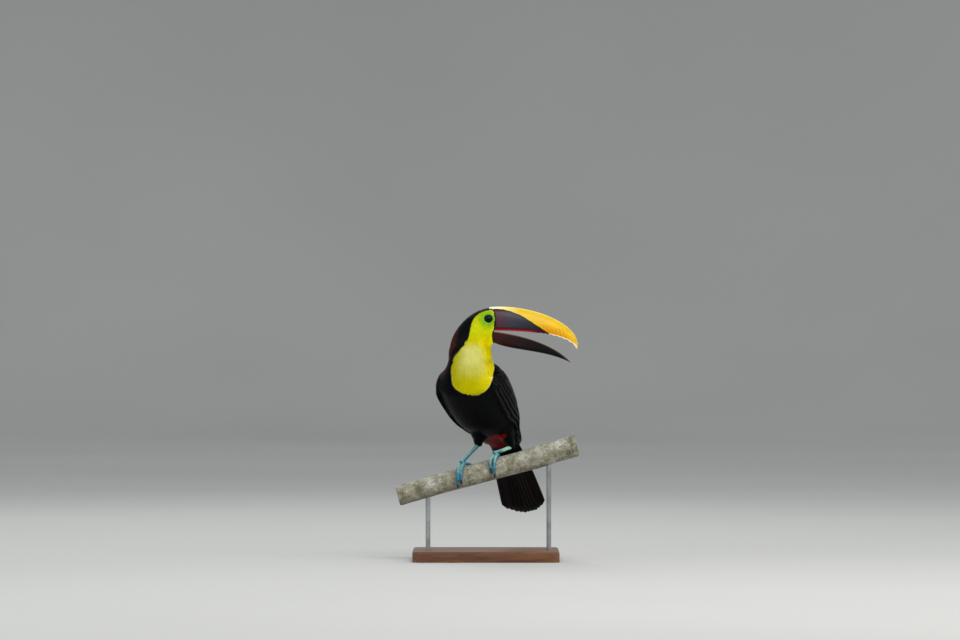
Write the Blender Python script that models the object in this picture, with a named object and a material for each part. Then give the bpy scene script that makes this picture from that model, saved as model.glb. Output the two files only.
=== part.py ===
"""A yellow-throated toucan, life size, gripping a cut length of branch on a plain display stand.

The bird sits upright with its front turned a little to its right, and looks over its left shoulder
with its bill open. All lengths are in millimetres until solid() writes them in metres. The bird, the
branch and the rods are laid out from the middle of the branch: x runs along the stand, y goes to the
back and z is up. The stand's base has its underside on z = 0, with its middle at the origin.
"""

import math

import bmesh
import bpy
import numpy as np

MM = 0.001
GAP = 0.3  # clearance between pieces that touch

# --- stand and perch ---
BASE_SIZE = (250.0, 205.0, 18.0)
BASE_CORNER = 14.0
BASE_BEVEL = 2.5
PERCH_MIDDLE = np.array((-10.0, -20.0, 150.0))
PERCH_LENGTH = 318.0
PERCH_RADIUS = 18.2
PERCH_SLOPE = math.radians(15.0)
PERCH_REACH = -146.0  # left end, along the perch from its middle
ROD_RADIUS = 4.0
ROD_PLACES = (-92.0, 122.0)
ROD_SOCKET = 9.0
HOLE_CLEAR = 0.4  # between a rod and its hole
PERCH_TAPER = 0.004
PERCH_SWELLINGS = ((-105.0, 12.0, 0.9), (104.0, 15.0, 1.3))  # place along the perch, spread, height
PERCH_BEND = 3.0
PERCH_STRAIGHT = 60.0  # straight this far each way from its middle
PERCH_SIDES = 22
PERCH_CHAMFER = 1.6

# --- trunk: egg-shaped, leaning back over the perch ---
TRUNK_MIDDLE = np.array((2.0, 12.0, 115.0))
TRUNK_PITCH = math.radians(53.8)
TRUNK_TURN = math.radians(-24.0)  # from straight forward, positive to the bird's left
TRUNK_ROLL = math.radians(5.0)
# distance up the trunk's axis, half-width, depth to the breast, depth to the back, sideways bend
TRUNK_STATIONS = (
    (-82.0, 26.0, 13.0, 19.0, 11.5),
    (-62.0, 35.0, 19.0, 27.0, 6.0),
    (-38.0, 45.8, 34.0, 35.0, 4.2),
    (-5.0, 53.0, 49.0, 42.0, 1.0),
    (28.0, 56.0, 51.0, 44.0, -1.5),
    (48.0, 56.0, 48.0, 46.0, -3.5),
    (64.0, 51.0, 45.0, 48.5, -5.5),
)

# --- neck and head: the head bends forward about the throat, to look along +x ---
HEAD_DEPTH_PLACE = -25.0
THROAT = np.array((24.0, 208.0))
HEAD_ARCS = (78.0, 76.0, 74.0, 73.5, 74.0, 75.0, 75.5)
THROAT_GAPE = (3.0, 10.0)
HEAD_WIDTHS = (33.0, 30.0, 27.0, 25.0, 23.0, 21.0, 19.0)
NECK_CENTRE = np.array((-17.5, -23.0, 187.0))
NECK_PITCH = math.radians(74.0)
NECK_TURN = math.radians(-10.0)
NECK_HALF = (39.0, 41.0)
NECK_ROLL = 0.02
# keys count up the body from the trunk's stations: the neck's middle, then the head's sections
NECK_KEY = 78.0
NECK_KEYS = (60.0, 97.0)  # where the neck begins and ends
HEAD_KEY = 100.0
HEAD_KEY_STEP = 12.0
BODY_SIDES = 30
TRUNK_RINGS = 14
NECK_RINGS = 7
HEAD_RINGS = 11

# --- eyes ---
EYE_PLACE = np.array((14.3, 262.6))
EYE_RADIUS = 7.4
SOCKET_CLEAR = 0.45
EYE_DEPTH = 13.6  # from the head's middle plane to the eye's middle

# --- bill: the four outlines seen from the side, each a cubic curve ---
BILL_BASE = THROAT[0] + GAP
CULMEN = ((BILL_BASE, 283.5), (93.0, 287.5), (178.5, 250.7), (165.0, 211.0))
UPPER_EDGE = ((BILL_BASE, 243.0), (80.0, 243.0), (152.0, 238.0), (165.0, 211.0))
LOWER_EDGE = ((BILL_BASE, 241.0), (70.0, 236.0), (130.0, 219.0), (155.0, 188.0))
GONYS = ((BILL_BASE, 222.0), (55.0, 208.0), (115.0, 210.0), (155.0, 188.0))
UPPER_WIDTH = 17.5
LOWER_WIDTH = 15.5
UPPER_ARCH = 0.10  # hollow of the inner face, as a share of that half's height
LOWER_ARCH = 0.18
BILL_FLOOR = 0.86  # width of the inner face beside the whole width
BILL_LAST = 0.985  # where the last section stands before the tip
BILL_RINGS = 15
BILL_SIDES = 12
BILL_FLARE = 0.12  # how much narrower the bill is at its ridge than at its edge

# --- wings: shells over the trunk's sides ---
# distance along the trunk, lower edge and upper edge as angles from the breast's middle line
WING_STATIONS = (
    (-122.0, 138.0, 156.0),
    (-104.0, 116.0, 164.0),
    (-82.0, 98.0, 170.0),
    (-45.0, 78.0, 170.0),
    (0.0, 62.0, 165.0),
    (36.0, 60.0, 156.0),
    (54.0, 66.0, 144.0),
    (66.0, 78.0, 132.0),
)
WING_THICKNESS = 6.5
WING_EDGE = 1.4
WING_CLEAR = 2.1  # from the trunk to the inner face of a wing
WING_SPLIT = -72.0
# distance along the trunk, half-width and back depth of the surface that the wings lie on
WING_BED = ((-122.0, 17.0, 22.0), (-90.0, 25.5, 25.5), (-62.0, 37.2, 28.5))

# --- tail and its coverts ---
TAIL_LENGTH = 143.0
TAIL_PITCH = math.radians(62.4)
TAIL_LEAN = math.radians(6.0)
TAIL_ROOT_WIDTH = 26.0
TAIL_TIP_WIDTH = 44.0
TAIL_THICKNESS = 3.2
TAIL_FEATHERS = 10
TAIL_BEGIN = 2.5
TAIL_SHORTER = 12.0  # how much shorter the outermost feathers are
TAIL_NOTCH = 4.0  # how far each feather's corners fall short of its middle
TAIL_ROOF = 3.0  # droop of the tail's sides
TAIL_LAP = 0.5  # step from one feather to the next
# length and height of the two half-round wedges over the tail's root
UNDER_COVERTS = (52.0, 11.0)
UPPER_COVERTS = (44.0, 8.5)
COVERT_RIM = 1.2

# --- legs: heel and foot places, then the toes as a path round the perch ---
HEELS = {"right": (-3.0, 25.0, 47.0), "left": (54.0, 33.0, 43.5)}
THIGH_TOPS = {"right": (0.0, 18.0, 88.0), "left": (39.0, 14.0, 86.0)}
THIGH_RADII = (18.0, 5.8)
THIGH_PAST_HEEL = 0.06
FOOT_PLACES = {"right": -26.0, "left": 33.0}  # along the perch
FOOT_HEIGHT = 7.4
FOOT_FORWARD = 3.0
KNUCKLE = 4.4
TARSUS_RADII = (3.9, 3.2)
TARSUS_CLEAR = 0.45
TOE_RADIUS = 3.3
TOE_CLEAR = 0.4  # from the bark to a toe or a claw
TOE_STARTS = (9.0, -5.0)  # front and back toes, as angles from the perch's top
CLAW_RADIUS = 2.2
CLAW_LENGTH = 12.0
CLAW_HUMP = 1.0
# place along the perch at the root and at the tip, and the angle round the perch at the tip
TOES = {
    "right": {
        "outer_front": (-3.7, -16.5, 116.0),
        "inner_front": (3.7, -8.6, 98.0),
        "outer_back": (-3.4, -13.0, -104.0),
        "inner_back": (3.6, 19.0, -62.0),
    },
    "left": {
        "outer_front": (3.7, -10.5, 112.0),
        "inner_front": (-3.7, -14.5, 80.0),
        "outer_back": (3.4, 9.0, -104.0),
        "inner_back": (-3.6, -10.0, -72.0),
    },
}


# ---------------------------------------------------------------- materials and meshes


def material(name, colour, roughness, metallic=0.0):
    made = bpy.data.materials.new(name)
    made.use_nodes = True
    shader = made.node_tree.nodes["Principled BSDF"]
    shader.inputs["Base Color"].default_value = (*colour, 1.0)
    shader.inputs["Roughness"].default_value = roughness
    shader.inputs["Metallic"].default_value = metallic
    return made


def solid(name, points, faces, finish, sharp=40.0, place=PERCH_MIDDLE):
    """One closed body from points in millimetres about the perch's middle."""
    mesh = bpy.data.meshes.new(name)
    mesh.from_pydata([tuple((np.asarray(p) + place) * MM) for p in points], [], faces)
    work = bmesh.new()
    work.from_mesh(mesh)
    bmesh.ops.recalc_face_normals(work, faces=work.faces)
    work.to_mesh(mesh)
    work.free()
    mesh.shade_smooth()
    mesh.set_sharp_from_angle(angle=math.radians(sharp))
    made = bpy.data.objects.new(name, mesh)
    mesh.materials.append(finish)
    bpy.context.scene.collection.objects.link(made)
    return made


def loft(rings, thin=False):
    """Points and faces of a body drawn through closed rings; a ring of one point is a tip.

    The rings of a thin body go out along one face and back along the other, and its ends are closed
    by a strip between the two.
    """
    points = [p for ring in rings for p in ring]
    faces = []
    start = 0
    for ring, after in zip(rings, rings[1:]):
        here, there = len(ring), len(after)
        for j in range(max(here, there)):
            a, b = start + j % here, start + (j + 1) % here
            c, d = start + here + (j + 1) % there, start + here + j % there
            faces.append(tuple(dict.fromkeys((a, b, c, d))))
        start += here
    for first, count in ((0, len(rings[0])), (start, len(rings[-1]))):
        if thin:
            last = first + count - 1
            faces += [(first + j, first + j + 1, last - 1 - j, last - j) for j in range(count // 2 - 1)]
        elif count > 1:
            faces.append(tuple(range(first, first + count)))
    return points, faces


def cut(target, cutter):
    """Takes the cutter's shape out of the target and hides the cutter."""
    cutter.hide_render = True
    cutter.display_type = "WIRE"
    boolean = target.modifiers.new("cut", "BOOLEAN")
    boolean.operation = "DIFFERENCE"
    boolean.object = cutter
    return target


def smooth(rows, wanted):
    """Rows read at the wanted values of their first column, on smooth curves that never overshoot."""
    table = np.array(rows, float)
    keys = table[:, 0]
    steps = np.diff(keys)[:, None]
    rates = np.diff(table, axis=0) / steps
    slopes = np.vstack((rates[:1], np.zeros_like(rates[:-1]), rates[-1:]))
    before, after = rates[:-1], rates[1:]
    same = before * after > 0
    total = np.where(same, before + after, 1.0)
    slopes[1:-1] = np.where(same, 2 * before * after / total, 0.0)
    out = []
    for key in np.atleast_1d(wanted):
        i = int(np.clip(np.searchsorted(keys, key) - 1, 0, len(keys) - 2))
        step = keys[i + 1] - keys[i]
        q = (key - keys[i]) / step
        first = (1 + 2 * q) * (1 - q) ** 2 * table[i] + q * (1 - q) ** 2 * step * slopes[i]
        second = q * q * (3 - 2 * q) * table[i + 1] - q * q * (1 - q) * step * slopes[i + 1]
        out.append(first + second)
    return np.array(out)


def bezier(controls, q):
    """The point at q, from 0 to 1, of a cubic curve."""
    weights = np.array(((1 - q) ** 3, 3 * q * (1 - q) ** 2, 3 * q * q * (1 - q), q**3))
    return weights @ np.array(controls)


# ---------------------------------------------------------------- the body's frame


def body_frame(pitch, turn, roll=0.0):
    """Directions along the body to the head, to the bird's left, and to its front side."""
    ahead = np.array((math.sin(turn), -math.cos(turn), 0.0))
    left = np.array((math.cos(turn), math.sin(turn), 0.0))
    up = np.array((0.0, 0.0, 1.0))
    along = math.cos(pitch) * ahead + math.sin(pitch) * up
    front = math.sin(pitch) * ahead - math.cos(pitch) * up
    c, s = math.cos(roll), math.sin(roll)
    tilt = np.array(((c, 0.0, -s), (0.0, 1.0, 0.0), (s, 0.0, c)))
    return tilt @ along, tilt @ left, tilt @ front


TRUNK_ALONG, TRUNK_LEFT, TRUNK_FRONT = body_frame(TRUNK_PITCH, TRUNK_TURN, TRUNK_ROLL)


def trunk_row(distance):
    """Key, centre, pitch, turn, roll, half-width, front and back depth at a distance up the axis."""
    _, wide, front, back, bend = smooth(TRUNK_STATIONS, distance)[0]
    centre = TRUNK_MIDDLE + distance * TRUNK_ALONG + np.array((bend, 0.0, 0.0))
    return [distance, *centre, TRUNK_PITCH, TRUNK_TURN, TRUNK_ROLL, wide, front, back]


def head_row(step):
    """The same for one of the head's sections, which turn about the throat."""
    share = step / (len(HEAD_WIDTHS) - 1)
    angle = share * math.pi / 2
    inner = THROAT_GAPE[0] + (THROAT_GAPE[1] - THROAT_GAPE[0]) * share
    outer = HEAD_ARCS[step]
    middle = THROAT + (outer + inner) / 2 * np.array((-math.cos(angle), math.sin(angle)))
    depth = (outer - inner) / 2
    key = HEAD_KEY + HEAD_KEY_STEP * step
    centre = (middle[0], HEAD_DEPTH_PLACE, middle[1])
    return [key, *centre, math.pi / 2 - angle, math.pi / 2, 0.0, HEAD_WIDTHS[step], depth, depth]


def body_rows():
    """The sections of the whole body from the rump to the bill's base."""
    trunk = [trunk_row(row[0]) for row in TRUNK_STATIONS]
    wide, deep = NECK_HALF
    neck = [NECK_KEY, *NECK_CENTRE, NECK_PITCH, NECK_TURN, NECK_ROLL, wide, deep, deep]
    head = [head_row(step) for step in range(len(HEAD_WIDTHS))]
    return [*trunk, neck, *head]


BODY_ROWS = body_rows()
HEAD_END = BODY_ROWS[-1][0]


def ring_point(row, angle, out=0.0):
    """The point of one section at an angle from its front middle line, positive to the left."""
    _, x, y, z, pitch, turn, roll, wide, front, back = row
    _, left, ahead = body_frame(pitch, turn, roll)
    c, s = math.cos(angle), math.sin(angle)
    depth = front if c > 0 else back
    return np.array((x, y, z)) + left * (wide + out) * s + ahead * (depth + out) * c


def body_ring(key, out=0.0, count=BODY_SIDES):
    """One section's outline. Its points keep their bearing, so the turned neck isn't wrung."""
    row = smooth(BODY_ROWS, key)[0]
    bearing = row[5] - TRUNK_TURN
    return [ring_point(row, 2 * math.pi * j / count - bearing, out) for j in range(count)]


def body_loft(first, last, count, out=0.0):
    return loft([body_ring(key, out) for key in np.linspace(first, last, count)])


# ---------------------------------------------------------------- head, neck and trunk


def make_flesh(black, yellow):
    """The trunk, the neck and the head, one shape parted by thin cuts."""
    solid("trunk", *body_loft(TRUNK_STATIONS[0][0], NECK_KEYS[0], TRUNK_RINGS), black)
    solid("neck", *body_loft(NECK_KEYS[0] + GAP, NECK_KEYS[1], NECK_RINGS), yellow)
    return solid("head", *body_loft(NECK_KEYS[1] + GAP, HEAD_END, HEAD_RINGS), yellow)


def ball_rings(radius, count=8, sides=14):
    """Rings of a ball about its own middle, with its poles along y."""
    rings = [[(0.0, -radius, 0.0)]]
    for i in range(1, count):
        angle = math.pi * i / count
        r, y = radius * math.sin(angle), -radius * math.cos(angle)
        turns = [2 * math.pi * j / sides for j in range(sides)]
        rings.append([(r * math.cos(a), y, r * math.sin(a)) for a in turns])
    rings.append([(0.0, radius, 0.0)])
    return rings


def make_eyes(head, finish):
    """Eyeballs set in sockets in the head's two sides; the bird's right side is at -y."""
    for side, sign in (("right", -1.0), ("left", 1.0)):
        place = np.array((EYE_PLACE[0], HEAD_DEPTH_PLACE + sign * EYE_DEPTH, EYE_PLACE[1]))
        middle = PERCH_MIDDLE + place
        solid(f"eye_{side}", *loft(ball_rings(EYE_RADIUS)), finish, place=middle)
        around_eye = ball_rings(EYE_RADIUS + SOCKET_CLEAR)
        cut(head, solid(f"socket_{side}", *loft(around_eye), finish, place=middle))


# ---------------------------------------------------------------- bill


def bill_ring(top, bottom, wide, arch):
    """A section across the bill: rounded over the top and flat-sided, its inner face arched."""
    x, high = top
    low_x, low = bottom
    ring = []
    for j in range(BILL_SIDES + 1):
        angle = math.pi * j / BILL_SIDES
        side, rise = math.cos(angle), math.sin(angle) ** 0.8
        across = wide * side * (1 - BILL_FLARE * rise)
        ring.append((low_x + (x - low_x) * rise, across, low + (high - low) * rise))
    for side in (-0.5, 0.0, 0.5):
        lift = arch * (high - low) * (1 - side * side)
        ring.append((low_x, BILL_FLOOR * wide * side, low + lift))
    return [np.array(p) + (0.0, HEAD_DEPTH_PLACE, 0.0) for p in ring]


def mandible(name, back, edge, wide, arch, finish):
    """One half of the bill, from its base to its tip, between its outer line and its edge line."""
    rings = []
    for q in np.linspace(0.0, BILL_LAST, BILL_RINGS):
        narrow = wide * (1 - q**2.2) ** 0.8 + 0.5
        rings.append(bill_ring(bezier(back, q), bezier(edge, q), narrow, arch))
    tip = (bezier(back, 1.0) + bezier(edge, 1.0)) / 2
    rings.append([np.array((tip[0], HEAD_DEPTH_PLACE, tip[1]))])
    return solid(name, *loft(rings), finish)


# ---------------------------------------------------------------- wings


def wing_row(distance):
    """A section of the surface that a wing lies on: the trunk, then wider than it at the rear."""
    if distance >= WING_BED[-1][0]:
        return smooth(BODY_ROWS, distance)[0]
    row = np.array(trunk_row(max(distance, TRUNK_STATIONS[0][0])))
    _, wide, back = smooth(WING_BED, distance)[0]
    beyond = distance - row[0]
    row[1:4] += beyond * TRUNK_ALONG
    row[7] = wide
    row[8] = back
    row[9] = back
    return row


def wing_rings(side, first, last, count):
    """Flat rings across a wing: out over its outer face and back along its inner face."""
    rings = []
    tip, shoulder = WING_STATIONS[0][0], WING_STATIONS[-1][0]
    for distance in np.linspace(first, last, count):
        _, low, high = smooth(WING_STATIONS, distance)[0]
        row = wing_row(distance)
        taper = min(1.0, (shoulder - distance) / 22.0 + 0.12, (distance - tip) / 70.0 + 0.12)
        columns = np.linspace(low, high, 9)
        outer, inner = [], []
        for j, angle in enumerate(columns):
            crown = math.sin(math.pi * j / (len(columns) - 1)) ** 0.55
            thick = WING_EDGE + (WING_THICKNESS - WING_EDGE) * crown * taper
            turn = side * math.radians(angle)
            outer.append(ring_point(row, turn, WING_CLEAR + thick))
            inner.append(ring_point(row, turn, WING_CLEAR))
        rings.append(outer + inner[::-1])
    return rings


def make_wings(finish):
    tip, shoulder = WING_STATIONS[0][0], WING_STATIONS[-1][0]
    for name, side in (("right", -1.0), ("left", 1.0)):
        near = wing_rings(side, WING_SPLIT, shoulder, 12)
        far = wing_rings(side, tip, WING_SPLIT - GAP, 7)
        solid(f"wing_{name}", *loft(near, thin=True), finish)
        solid(f"primaries_{name}", *loft(far, thin=True), finish)


# ---------------------------------------------------------------- tail


TAIL_FRAME = body_frame(TAIL_PITCH, TRUNK_TURN, TAIL_LEAN)
TAIL_DOWN, TAIL_SIDE, TAIL_UP = -TAIL_FRAME[0], TAIL_FRAME[1], -TAIL_FRAME[2]
TRUNK_REAR = np.array(trunk_row(TRUNK_STATIONS[0][0])[1:4])
TAIL_ROOT = TRUNK_REAR - GAP * TRUNK_ALONG + 3.0 * TAIL_UP + 1.5 * TAIL_SIDE


def tail_place(along, across, up):
    return TAIL_ROOT + TAIL_DOWN * along + TAIL_SIDE * across + TAIL_UP * up


def tail_width(along):
    """Half-width of the tail, which widens from its root to its tip."""
    return TAIL_ROOT_WIDTH + (TAIL_TIP_WIDTH - TAIL_ROOT_WIDTH) * (along / TAIL_LENGTH)


def make_tail(finish):
    """A shallow roof of feathers, each lapping the next, with a rounded end on every feather."""
    per_feather = 4
    across = np.linspace(-1.0, 1.0, TAIL_FEATHERS * per_feather + 1)
    upper, lower = [], []
    for share in np.linspace(0.0, 1.0, 5):
        top_row, bottom_row = [], []
        for j, a in enumerate(across):
            in_feather = (j % per_feather) / per_feather - 0.5
            end = TAIL_LENGTH - TAIL_SHORTER * abs(a) ** 2.5 - TAIL_NOTCH * abs(2 * in_feather) ** 2
            along = TAIL_BEGIN + (end - TAIL_BEGIN) * share
            wide = tail_width(along) * a
            middle = -TAIL_ROOF * abs(a) ** 1.6 * share + TAIL_LAP * in_feather * (1 if a < 0 else -1)
            top_row.append(tail_place(along, wide, middle + TAIL_THICKNESS / 2))
            bottom_row.append(tail_place(along, wide, middle - TAIL_THICKNESS / 2))
        upper.append(top_row)
        lower.append(bottom_row)
    rings = [row + under[::-1] for row, under in zip(upper, lower)]
    return solid("tail", *loft(rings, thin=True), finish)


def covert_rings(size, sign):
    """A half-round wedge lying over the tail, or under it at -1, thinning to a rounded end."""
    length, height = size
    clear = TAIL_THICKNESS / 2 + GAP + TAIL_LAP
    start = TRUNK_STATIONS[0][1]
    rings = []
    for share in np.linspace(0.0, 1.0, 8):
        along = length * share
        wide = start * (1 - 0.3 * share) * math.sqrt(max(1 - share**3, 0.03))
        tall = height * (1 - share**1.7) + COVERT_RIM
        droop = min(sign, 0.0) * TAIL_ROOF * (along / TAIL_LENGTH)
        ring = []
        for j in range(11):
            angle = math.pi * j / 10
            up = sign * (clear + tall * math.sin(angle)) + droop
            ring.append(tail_place(along + 2.0, wide * math.cos(angle), up))
        rings.append(ring)
    return rings


# ---------------------------------------------------------------- legs and feet


PERCH_DIRECTION = np.array((math.cos(PERCH_SLOPE), 0.0, math.sin(PERCH_SLOPE)))
PERCH_UP = np.array((-math.sin(PERCH_SLOPE), 0.0, math.cos(PERCH_SLOPE)))
PERCH_FRONT = np.array((0.0, -1.0, 0.0))


def perch_radius(along):
    """The perch is a little thicker to the right, with low swellings away from the feet."""
    swelling = sum(high * math.exp(-(((along - at) / spread) ** 2)) for at, spread, high in PERCH_SWELLINGS)
    return PERCH_RADIUS + PERCH_TAPER * along + swelling


def perch_middle(along):
    """The perch's own middle line, straight under the feet and bent a little at its ends."""
    bend = PERCH_BEND * (max(abs(along) - PERCH_STRAIGHT, 0.0) / 100.0) ** 2
    return PERCH_DIRECTION * along + PERCH_UP * math.copysign(bend, along)


def round_perch(along, angle, height):
    """A point at a height over the bark, at an angle from the perch's top towards its front."""
    reach = perch_radius(along) + height
    turn = math.cos(angle) * PERCH_UP + math.sin(angle) * PERCH_FRONT
    return perch_middle(along) + turn * reach


def tube_rings(path, radii, sides, up):
    """Rings of a tube along a path, each across the path's own direction."""
    path = np.array(path, float)
    headings = np.gradient(path, axis=0)
    rings = []
    for point, heading, radius in zip(path, headings, radii):
        heading = heading / np.linalg.norm(heading)
        side = np.cross(heading, up)
        side /= np.linalg.norm(side)
        over = np.cross(side, heading)
        turns = [2 * math.pi * (j + 0.5) / sides for j in range(sides)]
        rings.append([point + radius * (side * math.cos(a) + over * math.sin(a)) for a in turns])
    return rings


def foot_place(side):
    """The knuckle over the perch from which the toes spread."""
    return round_perch(FOOT_PLACES[side], 0.0, FOOT_HEIGHT) + PERCH_FRONT * FOOT_FORWARD


def tarsus_tube(side, out=0.0):
    """The bare shank from inside the thigh's feathers to the knuckle, thicker at both ends."""
    heel, foot = np.array(HEELS[side]), foot_place(side)
    along = (foot - heel) / np.linalg.norm(foot - heel)
    begin = heel - along * out
    wide, narrow = TARSUS_RADII
    path, radii = [], []
    for share in (0.0, 0.08, 0.25, 0.5, 0.75, 0.9, 1.0):
        path.append(begin + (foot - begin) * share)
        radii.append(narrow + (wide - narrow) * abs(2 * share - 1) ** 1.5 + out)
    radii[-1] = KNUCKLE + out
    path.append(foot + along * KNUCKLE * 0.6)
    radii.append(KNUCKLE * 0.62 + out)
    return loft(tube_rings(path, radii, 10, up=PERCH_DIRECTION))


def make_thigh(side, trunk_cutter, tarsus_cutter, finish):
    """The feathered upper leg, from the flank down past the heel."""
    top, heel = np.array(THIGH_TOPS[side]), np.array(HEELS[side])
    shares = np.linspace(0.0, 1.0, 7)
    path = [top + (heel - top) * share * (1 + THIGH_PAST_HEEL) for share in shares]
    wide, narrow = THIGH_RADII
    radii = [narrow + (wide - narrow) * (1 - share**1.4) for share in shares]
    thigh = solid(f"thigh_{side}", *loft(tube_rings(path, radii, 14, up=(0, 1, 0))), finish)
    cut(thigh, trunk_cutter)
    return cut(thigh, tarsus_cutter)


def toe_start(turn):
    """Where a toe begins under the knuckle, as an angle from the perch's top to its front."""
    return math.radians(TOE_STARTS[0] if turn > 0 else TOE_STARTS[1])


def toe_speed(root, tip, turn):
    """How far a toe's path goes along and round the bark from its root to its tip."""
    round_bark = (math.radians(turn) - toe_start(turn)) * (PERCH_RADIUS + TOE_RADIUS)
    return math.hypot(tip - root, round_bark)


def toe_point(side, root, tip, turn, share, height):
    """A point over the bark on a toe's path, at its root at 0 and the end of its flesh at 1."""
    start = toe_start(turn)
    along = FOOT_PLACES[side] + root + (tip - root) * math.sin(min(share, 1.3) * math.pi / 2.6)
    return round_perch(along, start + (math.radians(turn) - start) * share, height)


def make_toe(side, name, knuckle_cutter, skin, horn):
    """A toe wrapped round the bark, with a claw that goes on along the toe's own path."""
    course = TOES[side][name]
    shares = np.linspace(0.0, 1.0, 9)
    path = [toe_point(side, *course, share, TOE_RADIUS + TOE_CLEAR) for share in shares]
    radii = [TOE_RADIUS * (1 - 0.22 * share + 0.05 * math.cos(8 * math.pi * share)) for share in shares]
    toe = solid(f"toe_{side}_{name}", *loft(tube_rings(path, radii, 8, up=PERCH_DIRECTION)), skin)
    cut(toe, knuckle_cutter)
    speed = toe_speed(*course)
    claw, sizes = [], []
    for share in np.linspace(0.0, 1.0, 6):
        size = CLAW_RADIUS * (1 - share) ** 0.7 + 0.25
        hump = CLAW_HUMP * math.sin(math.pi * min(share * 1.2, 1.0))
        beyond = 1.0 + (TOE_CLEAR + CLAW_LENGTH * share) / speed
        claw.append(toe_point(side, *course, beyond, size + TOE_CLEAR + hump))
        sizes.append(size)
    solid(f"claw_{side}_{name}", *loft(tube_rings(claw, sizes, 6, up=PERCH_DIRECTION)), horn)


# ---------------------------------------------------------------- perch and stand


def make_perch(bark):
    """The cut branch, sawn off square at both ends with the bark's edge just broken."""
    rings = []
    for share in (0.0, 0.012, *np.linspace(0.08, 0.92, 12), 0.988, 1.0):
        along = PERCH_REACH + PERCH_LENGTH * share
        chamfer = PERCH_CHAMFER if share in (0.0, 1.0) else 0.0
        turns = [2 * math.pi * j / PERCH_SIDES for j in range(PERCH_SIDES)]
        rings.append([round_perch(along, turn, -chamfer) for turn in turns])
    return solid("perch_branch", *loft(rings), bark)


def upright(name, along, radius, bottom, top, finish):
    """A round post under a place on the perch, between two heights from the floor."""
    x, y, _ = PERCH_MIDDLE + perch_middle(along)
    turns = [2 * math.pi * j / 16 for j in range(16)]
    ends = [[(x + radius * math.cos(a), y + radius * math.sin(a), z) for a in turns] for z in (bottom, top)]
    return solid(name, *loft(ends), finish, place=np.zeros(3))


def base_outline(inset):
    """The base's outline with round corners, pulled in by an inset."""
    outline = []
    reach = np.array(BASE_SIZE[:2]) / 2 - BASE_CORNER
    for quarter, signs in enumerate(((1, 1), (-1, 1), (-1, -1), (1, -1))):
        middle = reach * signs
        for j in range(5):
            angle = math.pi / 2 * (quarter + j / 4)
            outline.append(middle + (BASE_CORNER - inset) * np.array((math.cos(angle), math.sin(angle))))
    return outline


def make_stand(perch, wood, steel):
    """A flat base with a rod to each end of the perch, each rod set in a blind hole at both ends."""
    top = BASE_SIZE[2]
    levels = ((0.0, 0.0), (top - BASE_BEVEL, 0.0), (top, BASE_BEVEL))
    rings = [[(x, y, height) for x, y in base_outline(inset)] for height, inset in levels]
    base = solid("stand_base", *loft(rings), wood, place=np.zeros(3))
    hole = ROD_RADIUS + HOLE_CLEAR
    for number, along in enumerate(ROD_PLACES, 1):
        bark = (PERCH_MIDDLE + perch_middle(along))[2] - perch_radius(along) / math.cos(PERCH_SLOPE)
        foot, head = top - ROD_SOCKET, bark + ROD_SOCKET
        upright(f"stand_rod_{number}", along, ROD_RADIUS, foot, head, steel)
        cut(base, upright(f"base_hole_{number}", along, hole, foot - GAP, top + 5.0, steel))
        cut(perch, upright(f"perch_hole_{number}", along, hole, bark - 12.0, head + GAP, steel))


def main():
    for old in list(bpy.data.objects):
        bpy.data.objects.remove(old)
    black = material("black_plumage", (0.012, 0.011, 0.013), 0.5)
    yellow = material("yellow_plumage", (0.75, 0.62, 0.03), 0.6)
    red = material("red_plumage", (0.32, 0.012, 0.012), 0.6)
    cream = material("cream_plumage", (0.82, 0.78, 0.62), 0.6)
    upper_horn = material("upper_bill", (0.85, 0.55, 0.03), 0.3)
    lower_horn = material("lower_bill", (0.07, 0.02, 0.02), 0.35)
    blue = material("leg_skin", (0.06, 0.28, 0.42), 0.5)
    claw = material("claw_horn", (0.015, 0.014, 0.015), 0.35)
    eye = material("eye_gloss", (0.01, 0.01, 0.015), 0.05)
    bark = material("perch_bark", (0.36, 0.34, 0.28), 0.85)
    wood = material("base_wood", (0.16, 0.08, 0.04), 0.45)
    steel = material("rod_steel", (0.55, 0.55, 0.56), 0.3, 1.0)

    head = make_flesh(black, yellow)
    make_eyes(head, eye)
    mandible("bill_upper", CULMEN, UPPER_EDGE, UPPER_WIDTH, UPPER_ARCH, upper_horn)
    mandible("bill_lower", GONYS, LOWER_EDGE, LOWER_WIDTH, LOWER_ARCH, lower_horn)
    make_wings(black)
    make_tail(black)
    solid("undertail_coverts", *loft(covert_rings(UNDER_COVERTS, -1.0)), red)
    solid("uppertail_coverts", *loft(covert_rings(UPPER_COVERTS, 1.0)), cream)
    around_trunk = body_loft(TRUNK_STATIONS[0][0] - 0.5, NECK_KEYS[0], TRUNK_RINGS, out=0.5)
    trunk_cutter = solid("trunk_cutter", *around_trunk, black)
    for side in ("right", "left"):
        tarsus_cutter = solid(f"tarsus_{side}_cutter", *tarsus_tube(side, TARSUS_CLEAR), blue)
        make_thigh(side, trunk_cutter, tarsus_cutter, black)
        solid(f"tarsus_{side}", *tarsus_tube(side), blue)
        for name in TOES[side]:
            make_toe(side, name, tarsus_cutter, blue, claw)
    perch = make_perch(bark)
    make_stand(perch, wood, steel)


main()
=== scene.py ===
"""The looks of the perched toucan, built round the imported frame.

Inside this script lengths are in millimetres and places are measured from the perch's middle: x runs
to the right along the stand, y to the back and z up. piece() writes them to the scene in metres.
"""

import math

import bpy
import numpy as np
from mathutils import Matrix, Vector, noise
from mathutils.bvhtree import BVHTree


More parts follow.
